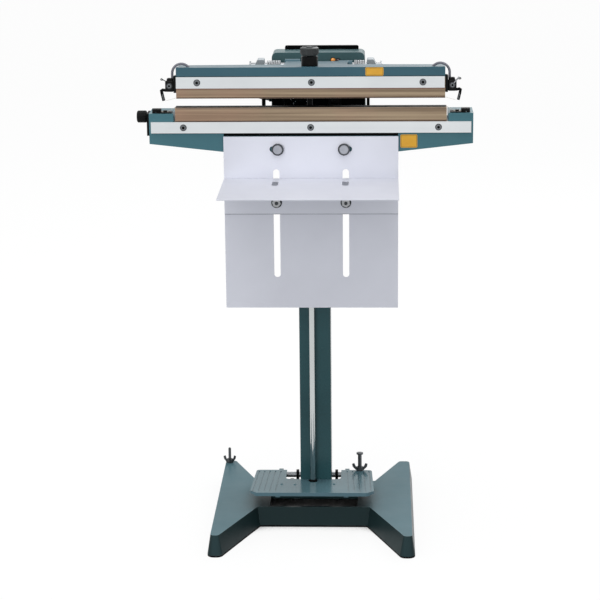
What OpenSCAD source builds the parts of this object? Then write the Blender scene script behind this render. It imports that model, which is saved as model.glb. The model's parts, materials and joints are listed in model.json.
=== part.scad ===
// Pedal-operated impulse heat sealer on a column stand.
// X runs along the jaws, Y runs back from the operator and Z is up, in millimetres.
// The origin is on the floor under the middle of the jaws. The arm is drawn closed
// and then swung up to its open rest position.

/* [Base] */
// Width over the two feet at the top of the casting
base_w = 350; // [336:1:370]
// Reach of the feet ahead of the origin
foot_front = 226; // [200:1:250]
// Reach of the feet behind the origin
foot_rear = 167; // [150:1:190]
// Width of a foot's front tip
tip_front_w = 14; // [13:0.5:18]
// Width of a foot's rear tip
tip_rear_w = 19; // [16:0.5:24]
// Height of the base, trim included
base_h = 36; // [34:1:40]
// Wall of the base casting
base_wall = 4; // [3:0.5:5]
// Outward draft of the casting's sides
base_draft = 5; // [3:0.5:6]
// Height of the rubber trim under the casting
trim_h = 3; // [2:0.5:4]
// Front edge of the crossbar ahead of the origin
bar_front = 84; // [80:1:90]
// Rear edge of the crossbar behind the origin
bar_rear = 56; // [54:1:66]
// Half width of the window under the pedal
window_x = 79; // [60:1:90]

/* [Column] */
// Outer width of the square tube
column_w = 56; // [46:1:57]
// Wall of the square tube
column_wall = 3; // [2:0.5:5]
// Height of the head's underside above the floor
head_z = 676; // [600:1:720]
// Sideways place of the column
column_x = 3; // [-3:0.5:4]

/* [Pedal] */
// Width of the pedal at its rear edge
pedal_w = 212; // [206:1:216]
// Front edge of the pedal ahead of the origin
pedal_front = 113; // [108:1:125]
// Thickness of the pedal plate
pedal_t = 5; // [4:0.5:6]
// Depth of the pedal's front lip
lip_h = 6.5; // [5:0.5:12]
// Height of the pedal hinge above the floor
pedal_hinge_z = 52; // [50:0.5:56]
// Slope of the pedal at rest, front up
pedal_slope = 2.9; // [2:0.1:4]
// Diameter of the pedal shaft
pedal_shaft_d = 10; // [8:0.5:12]

/* [Pull rod] */
// Diameter of the pull rod
rod_d = 10; // [8:0.5:11]
// Sideways place of the rod
rod_x = -2; // [-4:0.5:2]
// Distance of the rod ahead of the origin
rod_front = 39; // [38:0.5:40]
// Diameter of the pressure cap
cap_d = 32.5; // [28:0.5:34]
// Height of the pressure cap
cap_h = 15; // [12:0.5:20]
// Diameter of the sleeve round the buffer spring
sleeve_d = 29; // [28:0.5:33]

/* [Lower jaw] */
// Length of the lower body
body_l = 557; // [540:1:600]
// Depth of the lower body from front to back
body_d = 60; // [58:1:66]
// Height of the lower body from its underside to the jaw seat
body_h = 57; // [50:1:64]
// Wall of the lower body
body_wall = 5; // [4:0.5:6]
// Rise of the body's ends above the jaw seat
end_rise = 14; // [12:0.5:15]
// Length of the lower jaw
lower_jaw_l = 466; // [450:1:474]
// Height of the lower jaw bar
lower_jaw_h = 23.5; // [22:0.5:26]
// Depth of both jaw bars
jaw_d = 22; // [18:0.5:23]
// Length of the lower clamp strip
lower_strip_l = 550; // [500:1:556]
// Height of both clamp strips
strip_h = 19.5; // [16:0.5:21]
// Thickness of both clamp strips
strip_t = 2.9; // [2:0.1:3.5]

/* [Upper arm] */
// Length of the upper arm and its jaw
arm_l = 460; // [440:1:462]
// Depth of the arm's beam from front to back
beam_d = 78; // [70:1:90]
// Height of the beam casting
beam_h = 31; // [26:1:36]
// Height of the upper jaw bar
upper_jaw_h = 21; // [18:0.5:24]
// Distance of the arm pivot behind the origin
pivot_y = 118; // [112:1:124]
// Height of the arm pivot above the jaw seat
pivot_rise = 68; // [66:0.5:72]
// Diameter of the arm pivot shaft
pivot_d = 14; // [12:0.5:16]
// Angle that the arm stands open at rest
open_angle = 4.8; // [4:0.1:5]

/* [Work plate and shelf] */
// Width of the work plate and the shelf
plate_w = 301; // [290:1:320]
// Height of the work plate
plate_h = 304; // [290:1:320]
// Thickness of the plate and the shelf
sheet_t = 1.5; // [1:0.1:2]
// Depth of the shelf
shelf_d = 179; // [120:1:200]
// Drop from the jaw seat to the shelf at rest
shelf_drop = 98.5; // [90:0.5:130]
// Half distance between the two long slots
slot_x = 60; // [50:1:80]
// Width of the long slots
slot_w = 11; // [9:0.5:12]

/* [Control box] */
// Width of the control box
box_w = 172; // [150:1:176]
// Depth of the control box
box_d = 122; // [115:1:140]
// Height of the control box
box_h = 137; // [130:1:150]
// Sheet thickness of the control box
box_wall = 2; // [1.5:0.1:3]
// Sideways place of the control box
box_x = 7; // [5:0.5:9]

/* [Hidden] */
$fn = 48;

// Gaps between pieces
eps = 0.02;
running = 0.06;      // radial, shaft in its bore
touch = 0.1;         // between pieces that are bolted together
loose = 0.3;         // between bodies that move past each other
bolt_gap = 0.2;      // radial, bolt in its hole

// Base
foot_x = base_w / 2;
tip_lean = 2.4;
bar_x_front = foot_x - 74;
bar_x_rear = foot_x - 65;
window_front = bar_front - 6;
trim_w = base_wall + 2;
levelling_x = -foot_x + 7.5;
levelling_y = foot_rear - 9;
levelling_r = 2.6;
levelling_top = base_h + 30;

// Column and its welded flanges
column_half = column_w / 2;
column_corner = 3;
foot_flange_t = 6;
head_flange_t = 8;
flange_wing = 19;
bolt_d = 8;
bolt_x = column_half + 10;
foot_bolt_y = column_half - 9;
head_bolt_rows = [6, 38];
column_foot = base_h + foot_flange_t;
column_top = head_z - head_flange_t;
flange_front = column_half + 0.5;

// Pull rod
rod_r = rod_d / 2;
rod_y = -rod_front;
rod_bottom = base_h + 8;

// Pedal and its hinge
pedal_hinge_y = bar_rear - 11;
pedal_shaft_r = pedal_shaft_d / 2;
cheek_in = column_half + 5.5;
cheek_t = 5;
lug_x = 61;
lug_w = 8;
pedal_top = 13.3;
pad_rear = -15;
pedal_reach = pedal_hinge_y + pedal_front;
groove_front = -pedal_reach + 8;
notch_x = 50;
notch_front = -(pedal_hinge_y + column_half + 1.2);
rod_hole_r = rod_r + 3.5;
ball_r = rod_r + 5;
rod_from_hinge = pedal_hinge_y - rod_y;
pedal_under = pedal_hinge_z + rod_from_hinge * sin(pedal_slope) + (pedal_top - pedal_t) * cos(pedal_slope);
rod_hole_y = -(rod_from_hinge + (pedal_top - pedal_t) * sin(pedal_slope)) / cos(pedal_slope);
ball_z = pedal_under - sqrt(ball_r * ball_r - rod_hole_r * rod_hole_r) - 0.9;
limit_x = 82 - rod_x;
limit_y = -17;
limit_r = 3.5;

// Lower body, counted up from its underside
seat_z = head_z + body_h;
end_top = seat_z + end_rise;
body_front = -69;
body_rear = body_front + body_d;
body_half = body_l / 2;
slope_x = 112;
end_z = head_z + 0.111 * (body_half - slope_x);
floor_t = 8;
floor_z = head_z + floor_t;
jaw_half = lower_jaw_l / 2;
jaw_front = body_front + touch;
jaw_rear = jaw_front + jaw_d;
lower_jaw_top = seat_z + lower_jaw_h;
pad_w = 12;
pad_h = 4;
ribbon_w = 4;
ribbon_t = 0.3;
ribbon_y = (jaw_front + jaw_rear) / 2;
cloth_t = 0.5;
cloth_front = body_front - touch - cloth_t;
cloth_top = lower_jaw_top + ribbon_t + touch + cloth_t;
strip_front = cloth_front - touch - strip_t;
lower_strip_z = seat_z - strip_h;
strip_screw_d = 10;
lower_screw_x = [-219, 0, 219];
boss_r = 14;
bush_r = 8;
seat_half = jaw_half + 3;
terminal_z = end_top + 2.2;
label_w = 29;
label_h = 23;
label_t = 0.4;

// Arm, in its closed position
pivot_z = seat_z + pivot_rise;
pivot_r = pivot_d / 2;
arm_half = arm_l / 2;
upper_cloth_z = cloth_top + loose;
upper_ribbon_z = upper_cloth_z + cloth_t + touch;
upper_jaw_z = upper_ribbon_z + ribbon_t + touch;
beam_z = upper_jaw_z + upper_jaw_h + touch;
beam_top = beam_z + beam_h;
beam_rear = body_front + beam_d;
beam_wall = 5;
face_lip = 1.5;
wing_x = 110;
wing_cut = 9;
upper_strip_z = beam_z - 4.6;
upper_strip_top = upper_strip_z + strip_h;
upper_screw_x = [-194, 2, 192];
arm_hole_r = rod_r + 5;
sleeve_r = sleeve_d / 2;
sleeve_bore = rod_r + 7.2;
sleeve_h = 17;
cap_r = cap_d / 2;
cap_gap = 2;
barrel_x = 6.5;
barrel_half = 63;
ears = [[-58, -31, 13.5], [38, barrel_half, 10.5]];
tongue_half = 55;
tongue_end = pivot_y - 10;
tongue_drop = 11;
rod_arm = pivot_y - rod_y;
sleeve_top = beam_top + touch + sleeve_h;
cap_z = pivot_z + rod_arm * sin(open_angle) + (sleeve_top - pivot_z) * cos(open_angle) + cap_gap;

// Arm pivot stand
bearing_mid = column_x + 0.5;
bearing_x = 98.2;
bearing_w = 17.5;
bearing_foot = 9;
bearing_d = 28;
bearing_h = 25;
upright_t = 5.4;
upright_inset = 4;
upright_top = pivot_z - 11;

// Control box
box_front = pivot_y + 36;
box_rear = box_front + box_d;
box_half = box_w / 2;
box_top = floor_z + box_h;
box_corner = 9;
box_slope_y = box_front + 49;
box_rear_top = box_top - 31;
box_lean = 2;
panel_half = box_half - 1;
panel_low = 10;
panel_h = 82;
knob_at = [box_x - 32, floor_z + 58];
switch_at = [box_x + 30, floor_z + 56];
rocker_pin = 1.3;
lamp_at = [[box_x + 27, 9], [box_x + 36, 6.5]];
lamp_z = box_top - 14;
gland_z = floor_z + 57;
gland_r = 12.5;
gland_l = 30;
rail_half = 67.5;
rail_x = box_x + 5.5;
rail_d = 6;
rail_h = 7;
core_at = [box_x - 12, box_front + 62, floor_z + box_wall + touch];

// Work plate and shelf
plate_top = seat_z - 25.5;
plate_rear = body_front - 2.5;
plate_front = plate_rear - sheet_t;
plate_low = plate_top - plate_h;
plate_half = plate_w / 2;
stud_x = 57;
stud_z = head_z + 9.5;
slot_reach = 9;
stud_r = 3;
slot_top = plate_top - 57;
slot_low = slot_top - 192;
shelf_top = seat_z - shelf_drop;
flange_h = 63;
shelf_nut_z = shelf_top - 42.5;
flange_y = plate_front - loose;
shelf_front = flange_y - shelf_d;
shelf_bolt_r = 4;
shelf_slot_l = 27;
shelf_slot_y = flange_y - 31;
knob_y = plate_front - touch;
lead_r = 2.2;

// End knob on the left end of the body
end_knob_y = body_front + 27;
end_knob_z = seat_z + 5;
end_plate_t = 5;
end_knob_r = 10.5;

function unit(v) = v / norm(v);

// The arc, of radius r, that replaces corner b of the path a-b-c.
function corner(a, b, c, r, n = 6) =
    let (u = unit(a - b), v = unit(c - b), half = acos(u * v) / 2,
         m = b + unit(u + v) * r / sin(half), s = b + u * r / tan(half) - m,
         e = b + v * r / tan(half) - m, turn = (s[0] * e[1] - s[1] * e[0] > 0 ? 1 : -1) * (180 - 2 * half))
    [for (i = [0:n]) let (t = turn * i / n) m + [s[0] * cos(t) - s[1] * sin(t), s[0] * sin(t) + s[1] * cos(t)]];

// A closed outline with each corner rounded to its own radius.
function rounded(p, r, n = 6) =
    let (k = len(p))
    [for (i = [0:k - 1]) each corner(p[(i + k - 1) % k], p[i], p[(i + 1) % k], is_list(r) ? r[i] : r, n)];

function rect(x0, y0, x1, y1) = [[x0, y0], [x1, y0], [x1, y1], [x0, y1]];

// A thin strip of thickness t along the given points.
function strip(p, t) = concat(p, [for (i = [len(p) - 1:-1:0]) p[i] + [0, t]]);

function mirrored(p) = [for (i = [len(p) - 1:-1:0]) [-p[i][0], p[i][1]]];

// A box between two corners.
module block(a, b) {
    translate(a) cube(b - a);
}

// An outline in Y and Z, carried along X.
module along_x(x0, x1) {
    translate([x0, 0, 0]) rotate([90, 0, 90]) linear_extrude(x1 - x0) children();
}

// An outline in X and Z, carried along Y.
module along_y(y0, y1) {
    translate([0, y1, 0]) rotate([90, 0, 0]) linear_extrude(y1 - y0) children();
}

module rod_x_axis(x0, x1, y, z, r) {
    translate([x0, y, z]) rotate([0, 90, 0]) cylinder(h = x1 - x0, r = r);
}

module rod_y_axis(x, y0, y1, z, r) {
    translate([x, y1, z]) rotate([90, 0, 0]) cylinder(h = y1 - y0, r = r);
}

module rod_z_axis(x, y, z0, z1, r) {
    translate([x, y, z0]) cylinder(h = z1 - z0, r = r);
}

module both_sides() {
    children();
    mirror([1, 0, 0]) children();
}

// Swings what is drawn closed up to the arm's rest position.
module arm_at_rest() {
    translate([0, pivot_y, pivot_z]) rotate([-open_angle, 0, 0]) translate([0, -pivot_y, -pivot_z]) children();
}

// Carries what is drawn from the pedal hinge to the pedal's rest position.
module pedal_at_rest() {
    translate([rod_x, pedal_hinge_y, pedal_hinge_z]) rotate([-pedal_slope, 0, 0]) children();
}

// A wing nut on a screw of radius r, standing on z = 0.
module wing_nut(r, span) {
    hub = r + 2.6;
    difference() {
        union() {
            cylinder(h = 7, r = hub);
            for (s = [-1, 1])
                rotate([90, 0, 0]) translate([0, 0, -1.2]) linear_extrude(2.4)
                    polygon([[s * (r + 0.4), 0.6], [s * (hub + 1), 0.6], [s * (span / 2 - 1), 7],
                             [s * span / 2, 12], [s * (span / 2 - 4), 13.5], [s * (hub + 1), 7], [s * (r + 0.4), 6.8]]);
        }
        translate([0, 0, -1]) cylinder(h = 9, r = r + running);
    }
}

module hex_bolt(x, y, z0, z1, d) {
    rod_z_axis(x, y, z0, z1, d / 2);
    translate([x, y, z1]) cylinder(h = 0.65 * d, r = 0.9 * d, $fn = 6);
    translate([x, y, z0]) cylinder(h = 0.7 * d, r = 0.9 * d, $fn = 6);
}

// ---- Base ----

// One foot's outline, grown by g. Its inner edges run on into the crossbar.
function foot_outline(g) =
    let (r = tip_front_w / 2 - 0.6 + g,
         front = [-foot_x + tip_front_w + g, -foot_front - tip_lean * g], rear = [-foot_x + tip_rear_w + g, foot_rear + g],
         bar_f = [-bar_x_front + g, -bar_front - g], bar_r = [-bar_x_rear + g, bar_rear + g])
    rounded([[-foot_x - g, -foot_front - tip_lean * g], front, bar_f + (bar_f - front) * 0.14,
             bar_r + (bar_r - rear) * 0.14, rear, [-foot_x - g, foot_rear + g]],
            [r, r, 3, 3, r, r]);

function bar_outline(g) = rect(-bar_x_rear - 6, -bar_front - g, bar_x_rear + 6, bar_rear + g);

// A drafted lump between two outlines with the same number of points.
module drafted(low, high, z0, z1) {
    n = len(low);
    polyhedron(points = concat([for (p = low) [p[0], p[1], z0]], [for (p = high) [p[0], p[1], z1]]),
               faces = concat([[for (i = [0:n - 1]) i]], [[for (i = [n - 1:-1:0]) n + i]],
                              [for (i = [0:n - 1]) [i, n + i, n + (i + 1) % n]],
                              [for (i = [0:n - 1]) [i, n + (i + 1) % n, (i + 1) % n]]));
}

module base_lump(inset, z0, z1) {
    low = base_draft - inset;
    drafted(foot_outline(low), foot_outline(-inset), z0, z1);
    drafted(mirrored(foot_outline(low)), mirrored(foot_outline(-inset)), z0, z1);
    drafted(bar_outline(low), bar_outline(-inset), z0, z1);
}

module base_plan(g) {
    polygon(foot_outline(g));
    polygon(mirrored(foot_outline(g)));
    polygon(bar_outline(g));
}

module base_shell() {
    color([0.44, 0.58, 0.59]) difference() {
        base_lump(0, trim_h, base_h);
        base_lump(base_wall, trim_h - 1, base_h - base_wall);
        block([-window_x, -window_front, base_h - base_wall - 2], [window_x, -flange_front - 0.5, base_h + 1]);
        for (x = [-1, 1], y = [-1, 1])
            rod_z_axis(column_x + x * bolt_x, y * foot_bolt_y, 0, base_h + 1, bolt_d / 2 + bolt_gap);
        for (x = [-1, 1])
            rod_z_axis(column_x + x * (cheek_in + 13), pedal_hinge_y, 0, base_h + 1, 2.5 + bolt_gap);
        rod_z_axis(levelling_x, levelling_y, 0, base_h + 1, levelling_r + bolt_gap);
    }
}

module base_edge_trim() {
    color([0.06, 0.06, 0.07]) linear_extrude(trim_h) difference() {
        base_plan(base_draft);
        base_plan(base_draft - trim_w);
    }
}

module levelling_screw() {
    color([0.35, 0.36, 0.38]) union() {
        rod_z_axis(levelling_x, levelling_y, 1, levelling_top - levelling_r, levelling_r);
        translate([levelling_x, levelling_y, levelling_top - levelling_r]) sphere(r = levelling_r);
        translate([levelling_x, levelling_y, 0.6]) cylinder(h = 2.4, r = 3.2);
    }
}

module levelling_wing_nut() {
    color([0.4, 0.4, 0.4]) translate([levelling_x, levelling_y, base_h + loose]) wing_nut(levelling_r, 24);
}

// ---- Column ----

module column() {
    color([0.17, 0.29, 0.29]) union() {
        translate([column_x, 0, column_foot - eps]) linear_extrude(column_top - column_foot + 2 * eps) difference() {
            polygon(rounded(rect(-column_half, -column_half, column_half, column_half), column_corner));
            polygon(rounded(rect(column_wall - column_half, column_wall - column_half,
                                 column_half - column_wall, column_half - column_wall), 1));
        }
        difference() {
            block([column_x - column_half - flange_wing, -flange_front, base_h],
                  [column_x + column_half + flange_wing, flange_front, column_foot]);
            for (x = [-1, 1], y = [-1, 1])
                rod_z_axis(column_x + x * bolt_x, y * foot_bolt_y, 0, column_foot + 1, bolt_d / 2 + bolt_gap);
        }
        difference() {
            block([column_x - column_half - flange_wing, -flange_front, column_top],
                  [column_x + column_half + flange_wing, 2 * column_half, head_z]);
            for (x = [-1, 1], y = head_bolt_rows)
                rod_z_axis(column_x + x * bolt_x, y, column_top - 1, head_z + 1, bolt_d / 2 + bolt_gap);
        }
    }
}

module frame_bolts() {
    color([0.3, 0.31, 0.33]) {
        for (x = [-1, 1], y = [-1, 1])
            hex_bolt(column_x + x * bolt_x, y * foot_bolt_y, base_h - base_wall - 0.7 * bolt_d, column_foot, bolt_d);
        for (x = [-1, 1], y = head_bolt_rows)
            hex_bolt(column_x + x * bolt_x, y, column_top - 0.7 * bolt_d, floor_z, bolt_d);
        for (x = [-1, 1])
            hex_bolt(column_x + x * (cheek_in + 13), pedal_hinge_y, base_h - base_wall - 3.5, base_h + 4, 5);
    }
}

// ---- Pedal and its hinge ----

module pedal_brackets() {
    color([0.09, 0.1, 0.11]) for (s = [-1, 1]) translate([column_x, 0, 0]) difference() {
        union() {
            x0 = s > 0 ? cheek_in : -cheek_in - cheek_t;
            along_x(x0, x0 + cheek_t)
                polygon(rounded([[pedal_hinge_y - 9, base_h], [pedal_hinge_y + 9, base_h],
                                 [pedal_hinge_y + 9, pedal_hinge_z + 9], [pedal_hinge_y - 9, pedal_hinge_z + 9]],
                                [0.4, 0.4, 7, 7]));
            f0 = s > 0 ? cheek_in : -cheek_in - 19;
            block([f0, pedal_hinge_y - 9, base_h], [f0 + 19, pedal_hinge_y + 9, base_h + 4]);
        }
        rod_x_axis(-90, 90, pedal_hinge_y, pedal_hinge_z, pedal_shaft_r + running);
        rod_z_axis(s * (cheek_in + 13), pedal_hinge_y, base_h - 1, base_h + 5, 2.5 + bolt_gap);
    }
}

module pedal_shaft() {
    reach = lug_x + lug_w / 2 + 0.5;
    color([0.72, 0.73, 0.75]) union() {
        rod_x_axis(rod_x - reach - 6, rod_x + reach + 6, pedal_hinge_y, pedal_hinge_z, pedal_shaft_r);
        for (s = [-1, 1])
            rod_x_axis(rod_x + s * (reach + 2.5) - 2.5, rod_x + s * (reach + 2.5) + 2.5,
                       pedal_hinge_y, pedal_hinge_z, pedal_shaft_r + 3);
    }
}

// Plan of the pedal, from its hinge: two rear pads with a notch for the column.
module pedal_plan() {
    rear = pedal_w / 2;
    front = rear + 4.5;
    difference() {
        polygon(rounded([[-rear, pad_rear], [-front, -pedal_reach + 12], [-front + 12, -pedal_reach],
                         [front - 12, -pedal_reach], [front, -pedal_reach + 12], [rear, pad_rear]],
                        [7, 6, 9, 9, 6, 7]));
        polygon(rounded([[-notch_x, pad_rear + 20], [-notch_x, notch_front], [notch_x, notch_front],
                         [notch_x, pad_rear + 20]], [1, 10, 10, 1]));
    }
}

module pedal_plate() {
    color([0.46, 0.6, 0.62]) pedal_at_rest() difference() {
        union() {
            translate([0, 0, pedal_top - pedal_t]) linear_extrude(pedal_t) pedal_plan();
            translate([0, 0, pedal_top - lip_h]) linear_extrude(lip_h - 1) intersection() {
                pedal_plan();
                translate([-150, -pedal_reach]) square([300, 5]);
            }
            for (s = [-1, 1]) {
                block([s * lug_x - lug_w / 2, -pedal_reach + 3, 4], [s * lug_x + lug_w / 2, -3, pedal_top - 1]);
                rod_x_axis(s * lug_x - lug_w / 2, s * lug_x + lug_w / 2, 0, 0, pedal_shaft_r + 4);
                block([s * lug_x - lug_w / 2, -24, -2], [s * lug_x + lug_w / 2, 2, 5]);
            }
        }
        rod_x_axis(-pedal_w, pedal_w, 0, 0, pedal_shaft_r + running);
        translate([0, 0, pedal_top]) for (s = [-1, 1], i = [0:4])
            translate([s * (notch_x + 11 + 10 * i), pad_rear - 16, 0]) rotate([0, 0, s * 2])
                block([-1.1, groove_front - pad_rear + 16, -1], [1.1, 8, 1]);
        rod_z_axis(0, rod_hole_y, 0, pedal_top + 1, rod_hole_r);
        rod_z_axis(limit_x, limit_y, 0, pedal_top + 1, limit_r + running);
    }
}

module limit_screw() {
    color([0.55, 0.56, 0.58]) pedal_at_rest() union() {
        rod_z_axis(limit_x, limit_y, base_h + 3.6 - pedal_hinge_z, pedal_top + 33, limit_r);
        rod_z_axis(limit_x, limit_y, pedal_top + 31, pedal_top + 34, limit_r + 2.6);
    }
}

module limit_wing_nut() {
    color([0.6, 0.6, 0.6]) pedal_at_rest() translate([limit_x, limit_y, pedal_top + loose]) wing_nut(limit_r, 28.5);
}

// ---- Lower body ----

function body_profile() =
    [[-body_half, end_z], [-slope_x, head_z], [slope_x, head_z], [body_half, end_z], [body_half, end_top],
     [seat_half, end_top], [seat_half, seat_z], [-seat_half, seat_z], [-seat_half, end_top], [-body_half, end_top]];

module lower_body() {
    color([0.29, 0.45, 0.48]) difference() {
        union() {
            difference() {
                along_y(body_front, body_rear) polygon(body_profile());
                block([body_wall - body_half, body_front + body_wall, head_z - 1],
                      [body_half - body_wall, body_rear - body_wall, seat_z - body_wall]);
            }
            block([bearing_mid - bearing_x - 4, body_rear - body_wall, head_z],
                  [bearing_mid + bearing_x + 4, box_rear - 3, floor_z]);
            rod_z_axis(rod_x, rod_y, head_z, seat_z - body_wall + eps, boss_r);
            for (s = [-1, 1])
                rod_y_axis(s * stud_x, plate_rear + touch, body_front + body_wall + 8, stud_z, 8);
        }
        rod_z_axis(rod_x, rod_y, head_z - 1, seat_z + 1, bush_r);
        for (x = [-1, 1], y = head_bolt_rows)
            rod_z_axis(column_x + x * bolt_x, y, head_z - 1, floor_z + 1, bolt_d / 2 + bolt_gap);
        for (s = [-1, 1])
            rod_y_axis(s * stud_x, plate_rear - 1, body_front + 20, stud_z, stud_r + running);
        for (x = lower_screw_x)
            rod_y_axis(x, body_front - 1, body_front + body_wall + 1, lower_strip_z + strip_h / 2, 2 + bolt_gap);
        rod_x_axis(-body_half - 1, -body_half + 30, end_knob_y, end_knob_z, 3 + running);
    }
}

module rod_guide_bush() {
    color([0.75, 0.6, 0.3]) difference() {
        rod_z_axis(rod_x, rod_y, head_z + 1, seat_z, bush_r - eps);
        rod_z_axis(rod_x, rod_y, head_z, seat_z + 1, rod_r + running);
    }
}

module lower_jaw_bar() {
    color([0.78, 0.79, 0.8]) along_x(-jaw_half, jaw_half) difference() {
        polygon(rect(jaw_front, seat_z, jaw_rear, lower_jaw_top));
        polygon(rect(ribbon_y - pad_w / 2, lower_jaw_top - pad_h, ribbon_y + pad_w / 2, lower_jaw_top + 1));
    }
}

module lower_silicone_pad() {
    color([0.75, 0.3, 0.2]) block([-jaw_half, ribbon_y - pad_w / 2, lower_jaw_top - pad_h],
                                  [jaw_half, ribbon_y + pad_w / 2, lower_jaw_top]);
}

module lower_heating_ribbon() {
    color([0.8, 0.78, 0.7]) along_y(ribbon_y - ribbon_w / 2, ribbon_y + ribbon_w / 2)
        polygon(strip([[-seat_half - 26, terminal_z], [-seat_half - 10, terminal_z], [-jaw_half - 0.5, lower_jaw_top],
                       [jaw_half + 0.5, lower_jaw_top], [seat_half + 10, terminal_z], [seat_half + 26, terminal_z]],
                      ribbon_t));
}

// A sheet folded over the top of a jaw: down the front and a little way down the back.
module lower_ptfe_cloth() {
    color([0.59, 0.5, 0.4]) difference() {
        along_x(-jaw_half, jaw_half) difference() {
            polygon(rect(cloth_front, lower_strip_z + 2, jaw_rear + touch + cloth_t, cloth_top));
            polygon(rect(cloth_front + cloth_t, lower_strip_z, jaw_rear + touch, cloth_top - cloth_t));
            polygon(rect(jaw_rear, lower_strip_z, jaw_rear + 2, seat_z + 5));
        }
        cloth_holes(lower_screw_x, lower_strip_z);
    }
}

module cloth_holes(xs, z) {
    for (x = xs)
        rod_y_axis(x, cloth_front - 1, cloth_front + 1, z + strip_h / 2, 2 + bolt_gap);
}

module clamp_strip(x0, x1, z, screws) {
    difference() {
        block([x0, strip_front, z], [x1, strip_front + strip_t, z + strip_h]);
        for (x = screws)
            rod_y_axis(x, strip_front - 1, strip_front + strip_t + 1, z + strip_h / 2, 2 + bolt_gap);
    }
}

module strip_screws(xs, z, depth) {
    for (x = xs) {
        rod_y_axis(x, strip_front - 2.6, strip_front, z + strip_h / 2, strip_screw_d / 2);
        rod_y_axis(x, strip_front - 0.1, strip_front + depth, z + strip_h / 2, 2);
    }
}

module lower_clamp_strip() {
    color([0.86, 0.87, 0.87]) clamp_strip(-lower_strip_l / 2, lower_strip_l / 2, lower_strip_z, lower_screw_x);
}

module lower_strip_screws() {
    color([0.45, 0.46, 0.47]) strip_screws(lower_screw_x, lower_strip_z, strip_t + 8);
}

// The ribbon's clamp on each raised end of the body: an insulating plate, a screw and a sprung lever.
module lower_terminals() {
    color([0.08, 0.08, 0.09]) both_sides() {
        block([-seat_half - 30, ribbon_y - 9, end_top], [-seat_half - 3, ribbon_y + 9, terminal_z - touch]);
        rod_z_axis(-seat_half - 15, ribbon_y, terminal_z + ribbon_t, terminal_z + 2, 3.5);
        difference() {
            block([-seat_half - 37, ribbon_y - 6, end_top], [-seat_half - 22, ribbon_y + 6, terminal_z + 5]);
            block([-seat_half - 31, ribbon_y - 10, end_top - 1], [-seat_half - 20, ribbon_y + 10, terminal_z + ribbon_t + touch]);
        }
    }
}

module lower_label() {
    color([0.93, 0.69, 0.2]) block([plate_half + 3.5, body_front - label_t, seat_z - 46],
                                   [plate_half + 3.5 + label_w, body_front, seat_z - 46 + label_h]);
}

module end_plate() {
    color([0.07, 0.07, 0.08]) difference() {
        block([-body_half - end_plate_t, end_knob_y - 17, end_knob_z - 31],
              [-body_half, end_knob_y + 17, end_knob_z + 7.5]);
        rod_x_axis(-body_half - 10, -body_half + 1, end_knob_y, end_knob_z, 3 + running);
    }
}

// A ribbed grip on a turned stud, with a pale washer behind it.
module end_knob() {
    x = -body_half - end_plate_t - loose;
    color([0.06, 0.06, 0.06]) {
        difference() {
            rod_x_axis(x - 18, x - 4.6, end_knob_y, end_knob_z, end_knob_r);
            for (a = [0:20:340]) translate([0, end_knob_y, end_knob_z]) rotate([a, 0, 0])
                rod_x_axis(x - 20, x - 3, 0, end_knob_r + 0.5, 1);
        }
        rod_x_axis(x - 5, x, end_knob_y, end_knob_z, 7);
        rod_x_axis(x - 1, -body_half + 20, end_knob_y, end_knob_z, 3);
    }
}

// ---- Work plate and shelf ----

module slot(x, z0, z1, w) {
    rod_y_axis(x, plate_front - 1, plate_rear + 1, z0 + w / 2, w / 2);
    rod_y_axis(x, plate_front - 1, plate_rear + 1, z1 - w / 2, w / 2);
    block([x - w / 2, plate_front - 1, z0 + w / 2], [x + w / 2, plate_rear + 1, z1 - w / 2]);
}

module work_plate() {
    color([0.8, 0.81, 0.86]) difference() {
        block([-plate_half, plate_front, plate_low], [plate_half, plate_rear, plate_top]);
        for (s = [-1, 1]) {
            slot(s * slot_x, slot_low, slot_top, slot_w);
            for (e = [-4, slot_reach])
                rod_y_axis(s * (stud_x + e), plate_front - 1, plate_rear + 1, stud_z, 5);
            translate([s * (stud_x + (slot_reach - 4) / 2), 0, 0])
                block([-(slot_reach + 4) / 2, plate_front - 1, stud_z - 5], [(slot_reach + 4) / 2, plate_rear + 1, stud_z + 5]);
        }
    }
}

// A domed clamp knob whose stud screws into the body through a spacer collar.
module work_plate_knob(x) {
    color([0.55, 0.56, 0.6]) translate([x, knob_y, stud_z]) rotate([90, 0, 0]) union() {
        cylinder(h = 3, r = 10.5);
        translate([0, 0, 3 - eps]) cylinder(h = 4, r1 = 9, r2 = 6);
        translate([0, 0, -14]) cylinder(h = 15, r = stud_r);
    }
}

module work_plate_knob_left() {
    work_plate_knob(-stud_x);
}

module work_plate_knob_right() {
    work_plate_knob(stud_x);
}

module shelf_bracket() {
    color([0.83, 0.84, 0.87]) difference() {
        union() {
            block([-plate_half, shelf_front, shelf_top - sheet_t], [plate_half, flange_y, shelf_top]);
            block([-plate_half, flange_y - sheet_t, shelf_top - flange_h], [plate_half, flange_y, shelf_top]);
        }
        for (s = [-1, 1])
            rod_y_axis(s * slot_x, flange_y - 3, flange_y + 1, shelf_nut_z, shelf_bolt_r + bolt_gap);
        for (s = [-1, 1]) {
            for (y = [shelf_slot_y, shelf_slot_y - shelf_slot_l])
                rod_z_axis(s * slot_x, y, shelf_top - 3, shelf_top + 1, slot_w / 2);
            block([s * slot_x - slot_w / 2, shelf_slot_y - shelf_slot_l, shelf_top - 3],
                  [s * slot_x + slot_w / 2, shelf_slot_y, shelf_top + 1]);
        }
    }
}

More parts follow.
